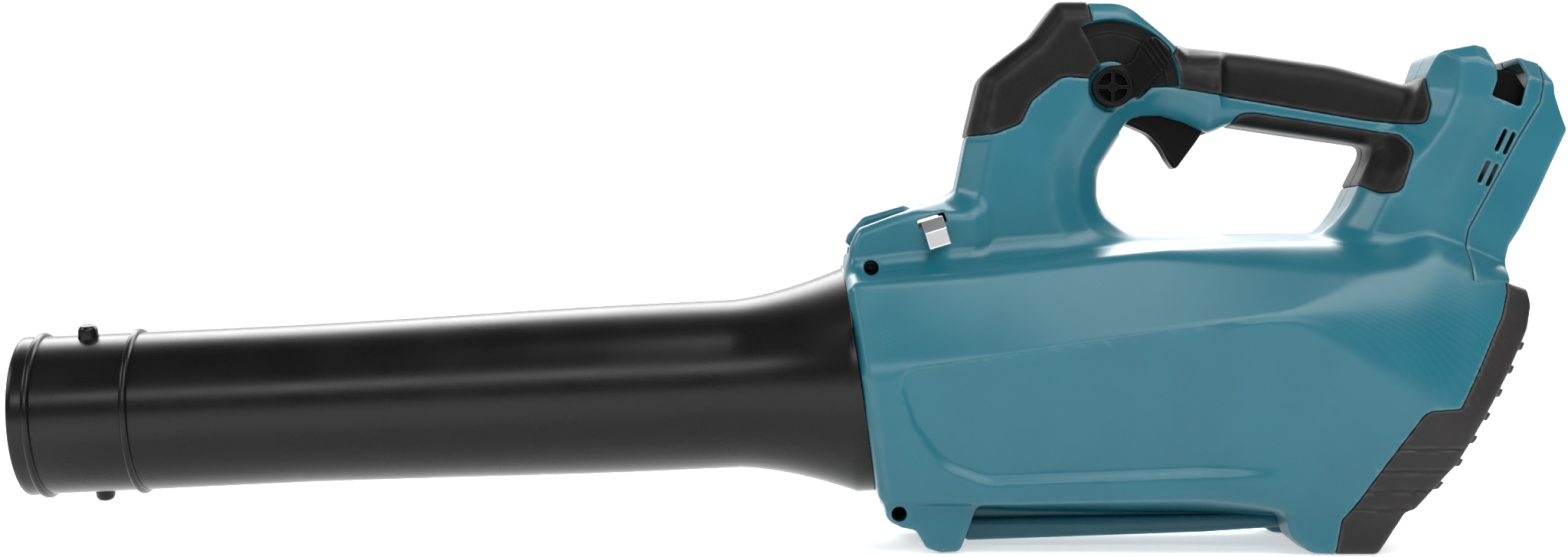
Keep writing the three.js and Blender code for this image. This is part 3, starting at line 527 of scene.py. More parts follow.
def body_section(g):
    """The squarish tube of the motor body: flat faces between corner lines that run along X."""
    corners = [
        (0.0, profile(g.x, BODY_TOP, 5.0)),
        (RIDGE_HALF, profile(g.x, RIDGE_Z, 5.0)),
        (profile(g.x, SIDE_HALF), profile(g.x, CREASE_Z)),
        (profile(g.x, LOW_HALF), profile(g.x, LOW_Z, 5.0)),
        (BELLY_HALF, profile(g.x, BELLY_Z)),
    ]
    faces = []
    for (w0, z0), (w1, z1) in zip(corners, corners[1:]):
        run, drop = w1 - w0, z1 - z0
        faces.append(((g.w - w0) * -drop + (g.z - z0) * run) / np.hypot(run, drop))
    rear = ease((g.x - 150) / 150)
    rear_soft = ease((g.x - CREASE_SOFT_FROM) / CREASE_SOFT_LENGTH)
    field = both(faces[0], faces[1], RIDGE_R + RIDGE_R_GAIN * rear)
    field = both(field, faces[2], CREASE_R + CREASE_R_GAIN * rear_soft)
    return both(field, faces[3], LOW_R + LOW_R_GAIN * rear)


def side_panel(g):
    """How far the flat panel on the side is sunk, fading out toward the rear."""
    below = np.clip((profile(g.x, CREASE_Z) - g.z) / 70, 0, 1)
    fade = 1 - ease((g.x - PANEL_FADE_FROM) / PANEL_FADE_LENGTH)
    depth = PANEL_DEPTH * (0.4 + 0.6 * below) * fade
    return depth * ease(0.5 - side_view(g, PANEL) / (1.8 + 4.5 * below))


def planed(g, half, slope, inward):
    """A slanted face: this half width at an outline, widening by slope with the distance inward."""
    return (g.w - half - slope * inward) / math.hypot(1, slope)


def hook(g):
    """The front strut and the hump above it, with facets that step down toward the finger opening."""
    field = side_view(g, HOOK)
    front = side_view(g, HOOK_FRONT)
    opening = side_view(g, OPENING)
    front_half = HOOK_FRONT_HALF + HOOK_PAD_SWELL * ease((g.z - 198) / 10)
    field = both(field, g.w - HOOK_HALF, 2.0)
    field = both(field, planed(g, front_half, HOOK_FRONT_SLOPE, -front), 1.5)
    field = both(field, planed(g, HOOK_STEP_HALF, HOOK_STEP_SLOPE, opening), 0.4)
    field = both(field, planed(g, HOOK_LIP_HALF, HOOK_LIP_SLOPE, opening), 0.8)
    return both(field, -opening, 4.0)


def handle_bar(g):
    """The round bar of the handle."""
    field = side_view(g, BAR)
    opening = side_view(g, OPENING)
    field = both(field, g.w - BAR_HALF, 11.0)
    return both(field, -opening, 9.0)


def tower(g):
    """The battery tower: flat sides with planed faces along its front, top and rear."""
    field = side_view(g, TOWER)
    top = side_view(g, TOWER_TOP)
    ridge = side_view(g, TOWER_RIDGE)
    fold = side_view(g, TOWER_FOLD)
    opening = side_view(g, OPENING)
    field = both(field, g.w - TOWER_HALF, 1.0)
    field = both(field, planed(g, TOWER_FOLD_HALF, TOWER_FOLD_SLOPE, -fold), 0.6)
    field = both(field, planed(g, TOWER_RIDGE_HALF, TOWER_RIDGE_SLOPE, -ridge), 1.0)
    field = both(field, planed(g, TOWER_TOP_HALF, TOWER_TOP_SLOPE, -top), 0.8)
    return both(field, -opening, 9.0)


def deck(g):
    """The raised deck around the nozzle latch."""
    field = side_view(g, DECK)
    fall = (g.z - DECK_TOP_Z + DECK_FALL * g.w) / math.hypot(1, DECK_FALL)
    field = both(field, g.w - DECK_HALF, 5.0)
    return both(field, fall - 5.0, 3.0)


def brow(g):
    """The upper front leans back above the round mating face."""
    return (-(g.x - BROW_X) + (g.z - BROW_Z) * BROW_LEAN) / math.hypot(1, BROW_LEAN)


def front_face(g):
    """The slanted plane that the air tube's flange meets."""
    return -(g.x - FACE_TOP_X) * math.cos(FACE_TILT) - (g.z - FACE_TOP_Z) * math.sin(FACE_TILT)


def outer_body(g):
    """Everything teal or black behind the front face, before it is parted into pieces."""
    field = body_section(g) + side_panel(g) * ease((g.w - 30) / 12)
    opening = side_view(g, OPENING)
    upper = either(hook(g), handle_bar(g), 5.0)
    upper = either(upper, tower(g), 7.0)
    field = either(field, deck(g), 6.0)
    field = either(field, upper, 8.0 - 5.0 * ease((g.x - 285) / 25))
    field = both(field, -opening, 2.0)
    foot = slab(side_view(g, FRONT_FOOT), g.w, *FRONT_FOOT_W, 3.0)
    rear = slab(side_view(g, REAR_FOOT), g.w, *REAR_FOOT_W, 3.0)
    keel = both(side_view(g, KEEL), g.w - KEEL_HALF, 3.0)
    neck = both(side_view(g, KEEL_NECK), g.w - KEEL_NECK_HALF, 1.0)
    keel = either(both(keel, g.z - profile(g.x, [[80, 13], [250, 16]]), 2.5), neck, 1.0)
    field = either(field, foot, 2.5)
    field = either(field, rear, 2.5)
    field = either(field, keel, 1.5)
    x, z, _side = SCREWS["front_lower"]
    field = either(field, both(from_axis(g, x, z) - BOSS_R - 0.6, g.w - 40), 2.0)
    face = both(front_face(g), brow(g), 2.0)
    rim = (field + face + RIM_CHAMFER) / math.sqrt(2)
    return both(both(field, face, 1.0), rim, 1.2)


def bored(g, field):
    """Cuts the round spigot hole and the room for the fan duct."""
    along, radius = turned_frame(g.x, g.w, g.z)
    hole = radius - SPIGOT_HOLE_R
    room = both(radius - DUCT_ROOM_R, np.abs(along - DUCT_ROOM_MIDDLE) - DUCT_ROOM_HALF)
    return without(without(field, hole + 0 * along + np.maximum(0, along - 60), 0.8), room)


def screw_wells(g, field, side):
    """Sinks a round well for each screw head on this side."""
    for x, z, faces in SCREWS.values():
        if faces != side:
            continue
        reach = from_axis(g, x, z) - SCREW_HOLE_R
        field = without(field, both(reach, SCREW_SEAT - 0.1 - g.w), 0.6)
    return field


def lever_pocket(g, grow=0.0):
    """The sunk sector around the speed lever."""
    x, z = g.x - LEVER_HUB[0], g.z - LEVER_HUB[1]
    radius = np.hypot(x, z)
    angle = np.arctan2(z, x) / DEG
    low, high = POCKET_LOW - grow, POCKET_HIGH + grow
    middle, half = (low + high) / 2, (high - low) / 2
    across = (np.abs(angle - middle) - half) * DEG * np.maximum(radius, 4)
    sector = both(radius - LEVER_REACH - POCKET_MARGIN - grow, across, 1.5)
    arm = side_view(g, LEVER_ARM) - ARM_MARGIN - grow
    return either(either(sector, arm), radius - LEVER_HUB_R - POCKET_MARGIN - grow, 1.0)


def lever_liner(g):
    """Plan of the dark plate on the pocket's floor, cut back round the hub."""
    radius = from_axis(g, *LEVER_HUB)
    return without(lever_pocket(g) + 0.5, radius - LEVER_HUB_R - 3.4)


def behind_seam(g, foot=JOINT_Z):
    """The room of the battery mount, down to this height."""
    return side_view(g, SEAM + [[SEAM_FOOT_X, foot], [460, foot], [460, 250]])


def grille_region(g):
    """Side view of the intake grille."""
    return side_view(g, GRILLE_JOINT + GRILLE_REAR)


def grille_space(g):
    """Everything behind the joint between the shells and the grille."""
    return side_view(g, [[480, -40], [480, JOINT_Z]] + GRILLE_JOINT + [[260.6, -40]])


def hanger_frame(g):
    """Distances across and up the leaning strap hanger."""
    x, z = g.x - HANGER_X, g.z - HANGER_Z
    across = x * math.cos(HANGER_LEAN) + z * math.sin(HANGER_LEAN)
    up = z * math.cos(HANGER_LEAN) - x * math.sin(HANGER_LEAN)
    return across, up


def strap_strip(g, grow=0.0, radius=0.5):
    """The bent steel strip of the strap hanger."""
    across, up = hanger_frame(g)
    strip = line_distance(g.w, up, HANGER_LINE) - HANGER_THICK / 2 - grow
    return both(strip, np.abs(across) - HANGER_WIDTH / 2 - grow, radius)


def vents(g):
    """The four slanted cooling slots beside the battery mount."""
    total = None
    for x, z in VENT_CENTRES:
        across = (g.x - x) * math.cos(SLIDE_TILT) - (g.z - z) * math.sin(SLIDE_TILT)
        up = (g.x - x) * math.sin(SLIDE_TILT) + (g.z - z) * math.cos(SLIDE_TILT)
        slot = both(np.abs(across) - VENT_HALF_WIDTH, np.abs(up) - VENT_HALF_LENGTH, 0.5)
        total = slot if total is None else np.minimum(total, slot)
    return total


PADS = {"hook": HOOK_PAD, "handle": TOP_PAD, "finger": FINGER_PAD}


def shell_field(g, outer):
    """The moulded shell without its side-specific cuts."""
    hollow = outer + WALL
    for corners in PADS.values():
        under_pad = np.minimum(outer + WALL + PAD_THICKNESS, WALL - side_view(g, corners))
        hollow = np.maximum(hollow, under_pad)
    for x, z, _side in SCREWS.values():
        hollow = np.maximum(hollow, BOSS_R - from_axis(g, x, z))
    pocket_wall = both(lever_pocket(g, WALL), LEVER_FLOOR - WALL - LINER - g.w)
    field = np.maximum(outer, -np.maximum(hollow, -pocket_wall))
    for corners in PADS.values():
        seat = both(side_view(g, corners) - GAP, -(outer + PAD_THICKNESS + GAP))
        field = without(field, seat, 0.5)
    field = bored(g, field)
    field = without(field, behind_seam(g) - SEAM_GAP, SEAM_EDGE_R)
    field = without(field, grille_space(g) - SEAM_GAP, SEAM_EDGE_R)
    field = without(field, slab(side_view(g, TRIGGER_ROOM), g.w, -9, TRIGGER_HALF + 0.8, 0.3), 0.6)
    field = without(field, slab(side_view(g, LATCH_ROOM), g.w, -9, LATCH_HALF + 1.3, 0.5), 0.8)
    field = without(field, strap_strip(g, 1.4), 0.6)
    field = without(field, side_view(g, NOTCH), 0.6)
    field = without(field, both(vents(g), VENT_FLOOR - g.w), 0.6)
    return both(field, 0.15 - g.w, 0.35)


def pad_field(g, outer, corners):
    """A soft pad laid into the shell and standing slightly proud of it."""
    field = both(outer - PAD_PROUD, side_view(g, corners), 1.1)
    field = np.maximum(field, -(outer + PAD_THICKNESS))
    return np.maximum(field, 0.15 - g.w)


def slide_frame(g):
    """Outward from the battery face, and up along it."""
    x, z = g.x - SLIDE_X, g.z - SLIDE_Z
    out = x * math.cos(SLIDE_TILT) - z * math.sin(SLIDE_TILT)
    up = x * math.sin(SLIDE_TILT) + z * math.cos(SLIDE_TILT)
    return out, up


def mount_field(g, outer):
    """The battery mount behind the seam, with the lanes that a pack's rails slide in."""
    field = both(outer, behind_seam(g, MOUNT_FOOT_Z) + SEAM_GAP, SEAM_EDGE_R)
    field = both(field, side_view(g, MOUNT_REAR), 1.6)
    out, up = slide_frame(g)
    lane = both(both(np.abs(out + LANE_MIDDLE) - LANE_HALF_DEPTH, g.w - LANE_HALF), LANE_FOOT - up)
    mouth = both(both(-LANE_MOUTH_DEPTH - out, g.w - LANE_MOUTH_HALF), LANE_FOOT - up)
    field = without(field, either(lane, mouth), 0.6)
    body = body_section(g)
    return without(field, np.maximum(body + WALL, g.z - 152))


def grille_field(g, outer):
    """The intake cover: a shell with slots across its rear and fins between them that stand proud."""
    region = grille_region(g)
    rear = side_view(g, GRILLE_REAR + [[346, 150], [200, 150], [200, -4]])
    phase = ((g.z - LOUVRE_FIRST_Z) / LOUVRE_PITCH) % 1.0
    span = np.abs(g.z - LOUVRE_FIRST_Z - LOUVRE_SPAN / 2) - LOUVRE_SPAN / 2
    field = both(outer, region + SEAM_GAP, SEAM_EDGE_R)
    field = both(field, rear, 5.0)
    slots = both(np.abs((phase - SLOT_PHASE) * LOUVRE_PITCH) - LOUVRE_SLOT / 2, -rear - SLOT_DEPTH, 0.6)
    field = without(field, both(slots, both(outer + SLOT_INSET, span), 2.0), 0.6)
    fins = np.abs((phase - FIN_PHASE) * LOUVRE_PITCH) - FIN_HALF
    fins = both(fins, both(rear - FIN_PROUD, -rear - FIN_DEPTH), 0.6)
    fins = both(fins, both(outer + FIN_INSET, span), 1.2)
    field = either(field, fins, 0.3)
    for height in GROOVE_HEIGHTS:
        groove = both(np.abs(g.z - height) - GROOVE_HALF, -(outer + GROOVE_DEPTH))
        field = without(field, both(groove, GROOVE_FROM - g.w), 0.4)
    hollow = np.maximum(outer + WALL, region + 3.5)
    hollow = np.maximum(hollow, 22 - g.z)
    return np.maximum(field, -np.maximum(hollow, rear + 9))


# -------- materials


def link(tree, a, b):
    tree.links.new(a, b)


CLOUD_SCALE = 28
PATCH_SCALE = 160
BRUSH_STRETCH = 40
ROUGHNESS_SPREAD = 0.07
RELIEF_DEPTH = 0.0002


def plastic(name, colour, roughness, grain=0.35, bump=0.05, mottle=0.06, metallic=0.0, sheen=0.0,
            edge=0.25, brushed=False, gloss=0.5):
    """Moulded plastic or metal with fine grain, cloudy variation and paler edges that stand for wear and a
    painted highlight.
    """
    made = bpy.data.materials.new(name)
    made.use_nodes = True
    tree = made.node_tree
    shader = tree.nodes["Principled BSDF"]
    shader.inputs["Metallic"].default_value = metallic
    shader.inputs["Sheen Weight"].default_value = sheen
    shader.inputs["Specular IOR Level"].default_value = gloss
    place = tree.nodes.new("ShaderNodeTexCoord")
    stretch = tree.nodes.new("ShaderNodeMapping")
    stretch.inputs["Scale"].default_value = (1, 1, BRUSH_STRETCH) if brushed else (1, 1, 1)
    link(tree, place.outputs["Object"], stretch.inputs["Vector"])

    clouds = tree.nodes.new("ShaderNodeTexNoise")
    clouds.inputs["Scale"].default_value = CLOUD_SCALE
    clouds.inputs["Detail"].default_value = 5
    link(tree, place.outputs["Object"], clouds.inputs["Vector"])
    shade = tree.nodes.new("ShaderNodeValToRGB")
    dark = [c * (1 - mottle) for c in colour]
    light = [min(1, c * (1 + mottle)) for c in colour]
    shade.color_ramp.elements[0].color = (*dark, 1)
    shade.color_ramp.elements[1].color = (*light, 1)
    shade.color_ramp.elements[0].position = 0.35
    shade.color_ramp.elements[1].position = 0.65
    link(tree, clouds.outputs["Fac"], shade.inputs["Fac"])

    # Convex edges are lightened toward a paler colour: partly wear, partly a painted highlight along the
    # edge.
    edge_wear_and_highlight = tree.nodes.new("ShaderNodeAttribute")
    edge_wear_and_highlight.attribute_name = "edge"
    patch = tree.nodes.new("ShaderNodeTexNoise")
    patch.inputs["Scale"].default_value = PATCH_SCALE
    patch.inputs["Detail"].default_value = 3
    link(tree, place.outputs["Object"], patch.inputs["Vector"])
    patchy_wear_and_highlight = tree.nodes.new("ShaderNodeMath")
    patchy_wear_and_highlight.operation = "MULTIPLY"
    link(tree, edge_wear_and_highlight.outputs["Fac"], patchy_wear_and_highlight.inputs[0])
    link(tree, patch.outputs["Fac"], patchy_wear_and_highlight.inputs[1])
    amount = tree.nodes.new("ShaderNodeMath")
    amount.operation = "MULTIPLY"
    amount.inputs[1].default_value = edge
    link(tree, patchy_wear_and_highlight.outputs[0], amount.inputs[0])
    mix = tree.nodes.new("ShaderNodeMix")
    mix.data_type = "RGBA"
    link(tree, amount.outputs[0], mix.inputs["Factor"])
    link(tree, shade.outputs["Color"], mix.inputs[6])
    # The paler colour that edge wear and the painted edge highlight blend toward.
    mix.inputs[7].default_value = (*[0.35 * c + 0.35 for c in colour], 1)
    link(tree, mix.outputs[2], shader.inputs["Base Color"])

    pores = tree.nodes.new("ShaderNodeTexNoise")
    pores.inputs["Scale"].default_value = 1000 / grain
    pores.inputs["Detail"].default_value = 2
    link(tree, stretch.outputs["Vector"], pores.inputs["Vector"])
    rough = tree.nodes.new("ShaderNodeMapRange")
    rough.inputs["To Min"].default_value = max(0.05, roughness - ROUGHNESS_SPREAD)
    rough.inputs["To Max"].default_value = min(1, roughness + ROUGHNESS_SPREAD)
    link(tree, clouds.outputs["Fac"], rough.inputs["Value"])
    link(tree, rough.outputs["Result"], shader.inputs["Roughness"])
    relief = tree.nodes.new("ShaderNodeBump")
    relief.inputs["Strength"].default_value = bump
    relief.inputs["Distance"].default_value = RELIEF_DEPTH
    link(tree, pores.outputs["Fac"], relief.inputs["Height"])
    link(tree, relief.outputs["Normal"], shader.inputs["Normal"])
    return made


# The edge amounts set how strongly wear and the painted edge highlight lighten convex edges; teal's is raised
# for the painted highlight lines.
teal = plastic("teal_plastic", (0.008, 0.102, 0.140), 0.31, grain=0.6, bump=0.10, mottle=0.05,
               edge=0.45, gloss=0.4)
tube_black = plastic("tube_black", (0.004, 0.0038, 0.0038), 0.28, grain=0.7, bump=0.14, mottle=0.12,
                     edge=0.12, gloss=0.24)
black = plastic("black_plastic", (0.003, 0.003, 0.003), 0.40, grain=0.6, bump=0.12, mottle=0.12,
                edge=0.12, gloss=0.06)
soft = plastic("soft_grip", (0.0045, 0.004, 0.0038), 0.44, grain=0.45, bump=0.25, mottle=0.10,
               edge=0.35, sheen=0.01, gloss=0.12)
charcoal = plastic("charcoal_plastic", (0.017, 0.0155, 0.016), 0.46, grain=0.6, bump=0.16, mottle=0.08,
                   edge=0.25, gloss=0.22)
grey = plastic("grey_plastic", (0.11, 0.12, 0.13), 0.45, bump=0.1)
nylon = plastic("nylon_white", (0.62, 0.60, 0.55), 0.42, bump=0.08, mottle=0.04, edge=0.1)
steel = plastic("steel", (0.55, 0.56, 0.57), 0.30, grain=0.4, bump=0.12, metallic=1.0, mottle=0.05,
                brushed=True)
dark_steel = plastic("black_screw", (0.035, 0.035, 0.037), 0.42, grain=0.4, bump=0.1, metallic=1.0,
                     mottle=0.1)
copper = plastic("copper_winding", (0.55, 0.20, 0.07), 0.35, grain=1.2, bump=0.6, metallic=1.0,
                 mottle=0.15)
brass = plastic("brass", (0.60, 0.43, 0.16), 0.28, bump=0.08, metallic=1.0, mottle=0.08)
rubber = plastic("seal_rubber", (0.010, 0.010, 0.010), 0.75, bump=0.3, mottle=0.1)

SLOT_MATERIALS = {
    "teal_housing": teal, "soft_grip": soft, "black_plastic": black, "grille_plastic": charcoal,
    "grey_plastic": grey, "fan_plastic": nylon, "steel": steel, "copper_winding": copper,
    "brass_contact": brass, "seal_rubber": rubber, "black_screw": dark_steel,
}

# -------- building the pieces


def build_body():
    """The two shells, the battery mount, the grille and the grips, all cut from one outer field."""
    margin = 2 * BODY_STEP
    g = Grid([23, -margin, -margin], [384, 82, 270], BODY_STEP)
    outer = outer_body(g).astype(np.float32)

    sub, cut = g.part(23, 374, -4, 270)
    shell = shell_field(sub, outer[cut])
    left = screw_wells(sub, shell, -1)
    pocket = both(lever_pocket(sub), LEVER_FLOOR - sub.w, 0.8)
    left = without(left, pocket, 0.8)
    left = without(left, both(lever_liner(sub) - 0.2, LEVER_FLOOR - LINER - sub.w), 0.2)
    placed(skin("shell_left", sub, left, -1, 0.02), "body", "teal_housing", teal, "housing_left")
    right = screw_wells(sub, shell, 1)
    placed(skin("shell_right", sub, right, 1, 0.02), "body", "teal_housing", teal, "housing_right")

    sub, cut = g.part(323, 384, 126, 250)
    mount = skin("rear_mount", sub, mount_field(sub, outer[cut]), 0)
    placed(mount, "body", "teal_housing", teal, "battery_mount")

    sub, cut = g.part(255, 362, -4, 136)
    grille = skin("rear_grille", sub, grille_field(sub, outer[cut]), 0, 0.01)
    placed(grille, "body", "grille_plastic", charcoal, "intake_grille")

    for name, corners in PADS.items():
        xs, zs = [c[0] for c in corners], [c[1] for c in corners]
        sub, cut = g.part(min(xs) - 4, max(xs) + 4, min(zs) - 4, max(zs) + 4)
        field = pad_field(sub, outer[cut], corners)
        for label, side in (("left", -1), ("right", 1)):
            kept = screw_wells(sub, field, side)
            if side < 0:
                kept = without(kept, both(lever_pocket(sub, 0.3), LEVER_FLOOR - 3 - sub.w), 0.6)
            grip = skin(f"{name}_grip_{label}", sub, kept, side, 0.01)
            placed(grip, "body", "soft_grip", soft, f"{name}_pad_{label}")


def lathe(rows, sides, place):
    """Points and quads of a closed profile [(along, radius)] swept round; place puts them in the frame."""
    turns = np.arange(sides) * 2 * math.pi / sides
    points = np.array([place(u, r, t) for u, r in rows for t in turns])
    ring = np.arange(sides)
    following = (ring + 1) % sides
    quads = []
    for k in range(len(rows)):
        a, b = k * sides, ((k + 1) % len(rows)) * sides
        quads.append(np.stack([a + ring, a + following, b + following, b + ring], axis=1))
    return points, np.concatenate(quads)


def on_duct(u, r, turn):
    """A point at a distance along the duct, at a radius, turned from straight up toward the right."""
    side, up = r * math.sin(turn), r * math.cos(turn)
    x = DUCT_X + u * math.cos(DUCT_TILT) - up * math.sin(DUCT_TILT)
    z = DUCT_Z + u * math.sin(DUCT_TILT) + up * math.cos(DUCT_TILT)
    return x, side, z


def face_distance(r, turn):
    """How far along the duct the slanted front face lies at this radius and turn."""
    up = r * math.cos(turn)
    x = FACE_TOP_X - DUCT_X + up * math.sin(DUCT_TILT)
    z = FACE_TOP_Z - DUCT_Z - up * math.cos(DUCT_TILT)
    return (x * math.cos(FACE_TILT) + z * math.sin(FACE_TILT) - GAP) / math.cos(DUCT_TILT - FACE_TILT)


BEAD = [(0.0, 0.0), (0.08, 0.5), (0.2, 0.85), (0.36, 1.0), (0.64, 1.0), (0.8, 0.85), (0.92, 0.5), (1.0, 0.0)]


def tube_profile():
    """Outside of the blowing tube from the tip to the body, then the bore back to the tip."""
    tip = -TUBE_LENGTH
    rows = [(tip, TUBE_R - 1.9), (tip, TUBE_R - 0.7), (tip + 0.3, TUBE_R - 0.1), (tip + 0.9, TUBE_R + 0.3)]
    rows += [(tip + 3.2, TUBE_R + 0.3), (tip + 5.5, TUBE_R + 0.1)]
    for start, width, height in ((7.4, 4.2, 1.9), (55.0, 4.0, 1.9)):
        rows += [(tip + start + width * t, TUBE_R + height * h) for t, h in BEAD]
    taper = np.linspace(tip + 66, -60, 26)
    rows += [(u, TUBE_R + (MOUTH_R - TUBE_R) * float(ease((u - tip - 120) / 200))) for u in taper]
    rows += [(u, flare_radius(u)) for u in np.linspace(-57, 0, 20)]
    rows += [("face", FLARE_R), ("face", SPIGOT_R - 1.5)]
    rows += [(26.0, SPIGOT_R - 1.5), (26.0, SPIGOT_R - 4.5), (0.0, SPIGOT_R - 4.5), (-30.0, MOUTH_R)]
    rows += [(-62.0, MOUTH_R - 2.4), (tip + 66, TUBE_R - 2.4), (tip + 0.6, TUBE_R - 2.4)]
    return rows


def flare_radius(u):
    """Radius of the tube where it opens toward the body."""
    return MOUTH_R + (FLARE_R - MOUTH_R) * max(0.0, 1 + u / 60) ** 1.6


def build_tube():
    """The blowing tube and its two bayonet knobs."""
    def place(u, r, turn):
        return on_duct(face_distance(r, turn) if u == "face" else u, r, turn)

    points, quads = lathe(tube_profile(), 160, place)
    shells = [(points, quads)]
    knob = [(-3, 0.01), (-3, 5.6), (0, 5.2), (0.8, 5.0), (3.6, 4.8), (4.8, 4.3), (5.6, 3.6), (5.9, 2.9)]
    knob.append((5.9, 0.01))
    for turn in (PIN_TURN, PIN_TURN + math.pi):
        def stand(h, r, t, turn=turn):
            u, across, up = -TUBE_LENGTH + PIN_FROM_TIP + r * math.cos(t), r * math.sin(t), TUBE_R + h
            radius = math.hypot(across, up)
            return on_duct(u, radius, turn + math.atan2(across, up))
        shells.append(lathe(knob, 32, stand))
    tube = joined("blow_tube", shells)
    tube.data.set_sharp_from_angle(angle=38 * DEG)
    placed(tube, "body", "black_plastic", tube_black, "nozzle_tube")


def joined(name, shells):
    """One object from several closed shells of points and faces."""
    points, faces, start = [], [], 0
    for shell, quads in shells:
        points.append(shell)
        faces.append(quads + start)
        start += len(shell)
    made = object_from(name, np.concatenate(points), [np.concatenate(faces)])
    mesh = made.data
    centre = sum((v.co for v in mesh.vertices), Vector()) / len(mesh.vertices)
    outward = sum(p.area * p.normal.dot(p.center - centre) for p in mesh.polygons)
    if outward < 0:
        mesh.flip_normals()
    return made


def fine_grid(x0, x1, w1, z0, z1, step):
    """A small grid from just past the middle plane out to w1."""
    step *= FINE
    return Grid([x0, -2 * step, z0], [x1, w1, z1], step)


def build_trigger():
    """The finger trigger, dished in front and bored for its pivot."""
    g = fine_grid(163, 212, 11, 181, 223, 0.4)
    field = side_view(g, TRIGGER)
    field = both(field, g.w - TRIGGER_HALF, 2.6)
    dish = from_axis(g, *DISH_CENTRE) - DISH_R
    field = without(field, dish + 0.05 * g.w ** 2, 1.2)
    field = without(field, from_axis(g, *TRIGGER_PIVOT) - 2.5)
    placed(skin("trigger_skin", g, field, 0), "trigger", "black_plastic", black, "trigger")


def build_pin():
    """The trigger's pivot, its chamfered ends below the skin of the strut."""
    chamfer = 0.4
    half = [(PIN_HALF - chamfer, PIN_R), (PIN_HALF, PIN_R - chamfer), (PIN_HALF, 0.01)]
    rows = [(-u, r) for u, r in reversed(half)] + half

    def across(u, r, t):
        return TRIGGER_PIVOT[0] + r * math.cos(t), u, TRIGGER_PIVOT[1] + r * math.sin(t)

    pin = joined("pin_skin", [lathe(rows, 32, across)])
    pin.data.set_sharp_from_angle(angle=38 * DEG)
    placed(pin, "body", "steel", steel, "trigger_pin")


def build_lever():
    """The speed lever: a dial with a cross and a ribbed thumb arm."""
    g = fine_grid(148, 194, 31, 210, 254, 0.35)
    x, z = g.x - LEVER_HUB[0], g.z - LEVER_HUB[1]
    radius, angle = np.hypot(x, z), np.arctan2(z, x)
    depth = np.abs(g.w - (LEVER_FACE + LEVER_FLOOR) / 2) - (LEVER_FACE - LEVER_FLOOR) / 2 + GAP
    hub = both(radius - LEVER_HUB_R, depth, 1.4)
    arm = both(side_view(g, LEVER_ARM), depth + 0.7, 1.3)
    field = either(hub, arm, 1.2)
    field = without(field, both(radius - 8.2, LEVER_FACE - GAP - 0.9 - g.w), 0.4)
    quarter = np.abs((angle % (math.pi / 2)) - math.pi / 4) * radius - (0.78 * radius - 0.9)
    slot = both(both(np.abs(radius - 4.9) - 2.3, quarter, 0.4), LEVER_FACE - 7 - g.w)
    field = without(field, slot, 0.3)
    out = x * math.cos(LEVER_REST) + z * math.sin(LEVER_REST)
    rib = np.abs(((out - 21.5) / 2.6) % 1.0 - 0.5) * 2.6 - 0.65
    ribs = both(both(rib, np.abs(out - 26.6) - 5.2), LEVER_FACE - 1.8 - g.w)
    field = without(field, ribs, 0.3)
    placed(skin("lever_skin", g, field, -1), "lever", "black_plastic", black, "speed_lever")


def build_liner():
    """The dark plate that the speed lever sweeps over."""
    g = fine_grid(140, 200, 24, 208, 262, 0.4)
    field = both(lever_liner(g), np.abs(g.w - LEVER_FLOOR + LINER / 2 + 0.15) - LINER / 2 + 0.1, 0.4)
    radius = from_axis(g, *LEVER_HUB)
    field = without(field, both(np.abs(radius - 27) - 0.5, LEVER_FLOOR - 0.7 - g.w), 0.2)
    placed(skin("lever_liner", g, field, -1), "body", "soft_grip", soft)


def build_latch():
    """The latch that holds the tube, with a ribbed thumb rest."""
    g = fine_grid(27, 69, 17, 128, 168, 0.4)
    field = both(side_view(g, LATCH), g.w - LATCH_HALF, 2.4)
    along = g.x * math.cos(24 * DEG) + g.z * math.sin(24 * DEG)
    rib = np.abs((along / 2.8) % 1.0 - 0.5) * 2.8 - 0.6
    across = (g.z - 150) - 0.36 * (g.x - 30)
    ribs = both(both(rib, np.abs(g.x - 45) - 6.5), both(g.w - 10, 3.0 - across))
    field = without(field, ribs - 0.1, 0.3)
    field = without(field, both(from_axis(g, *LATCH_PIVOT) - LATCH_PIN_R, -g.w - 30))
    placed(skin("latch_skin", g, field, 0), "latch", "teal_housing", teal, "nozzle_latch")


def build_strap():
    """The bent steel loop for a shoulder strap, on both sides of the deck."""
    g = fine_grid(66, 85, 37, 139, 167, 0.3)
    placed(skin("strap_bracket", g, strap_strip(g, 0, 0.45), 0), "body", "steel", steel, "strap_hanger")


def build_screws():
    """Pan heads with a six-lobed socket, shank and thread, one shell for each screw."""
    step = 0.3 * FINE
    low, high = [-4.5, -11, -4.5], [4.5, 12.5, 4.5]
    g = Grid(low, high, step)
    radius, angle = np.hypot(g.x, g.z), np.arctan2(g.z, g.x)
    head = both(both(radius - 3.3, g.w - 11), 8.4 - g.w, 0.6)
    socket = radius - 1.7 - 0.28 * np.cos(6 * angle)
    thread = 1.75 + 0.18 * np.sin(2 * math.pi * g.w / 1.4 + angle)
    shank = both(radius - thread, both(g.w - 9, -10 - g.w), 0.3)
    field = without(either(head, shank, 0.3), both(socket, 9.4 - g.w), 0.2)
    points, triangles, quads, normals, bend = surface(g, field)
    for name, (x, z, side) in SCREWS.items():
        spots = points * [1, side, 1] + [x, 0, z]
        piece = object_from(f"screw_{name}_skin", spots, [triangles, quads], normals * [1, side, 1],
                            edge_wear_and_highlight(bend), flip=side < 0)
        placed(piece, "body", "black_screw", dark_steel, f"screw_{name}")


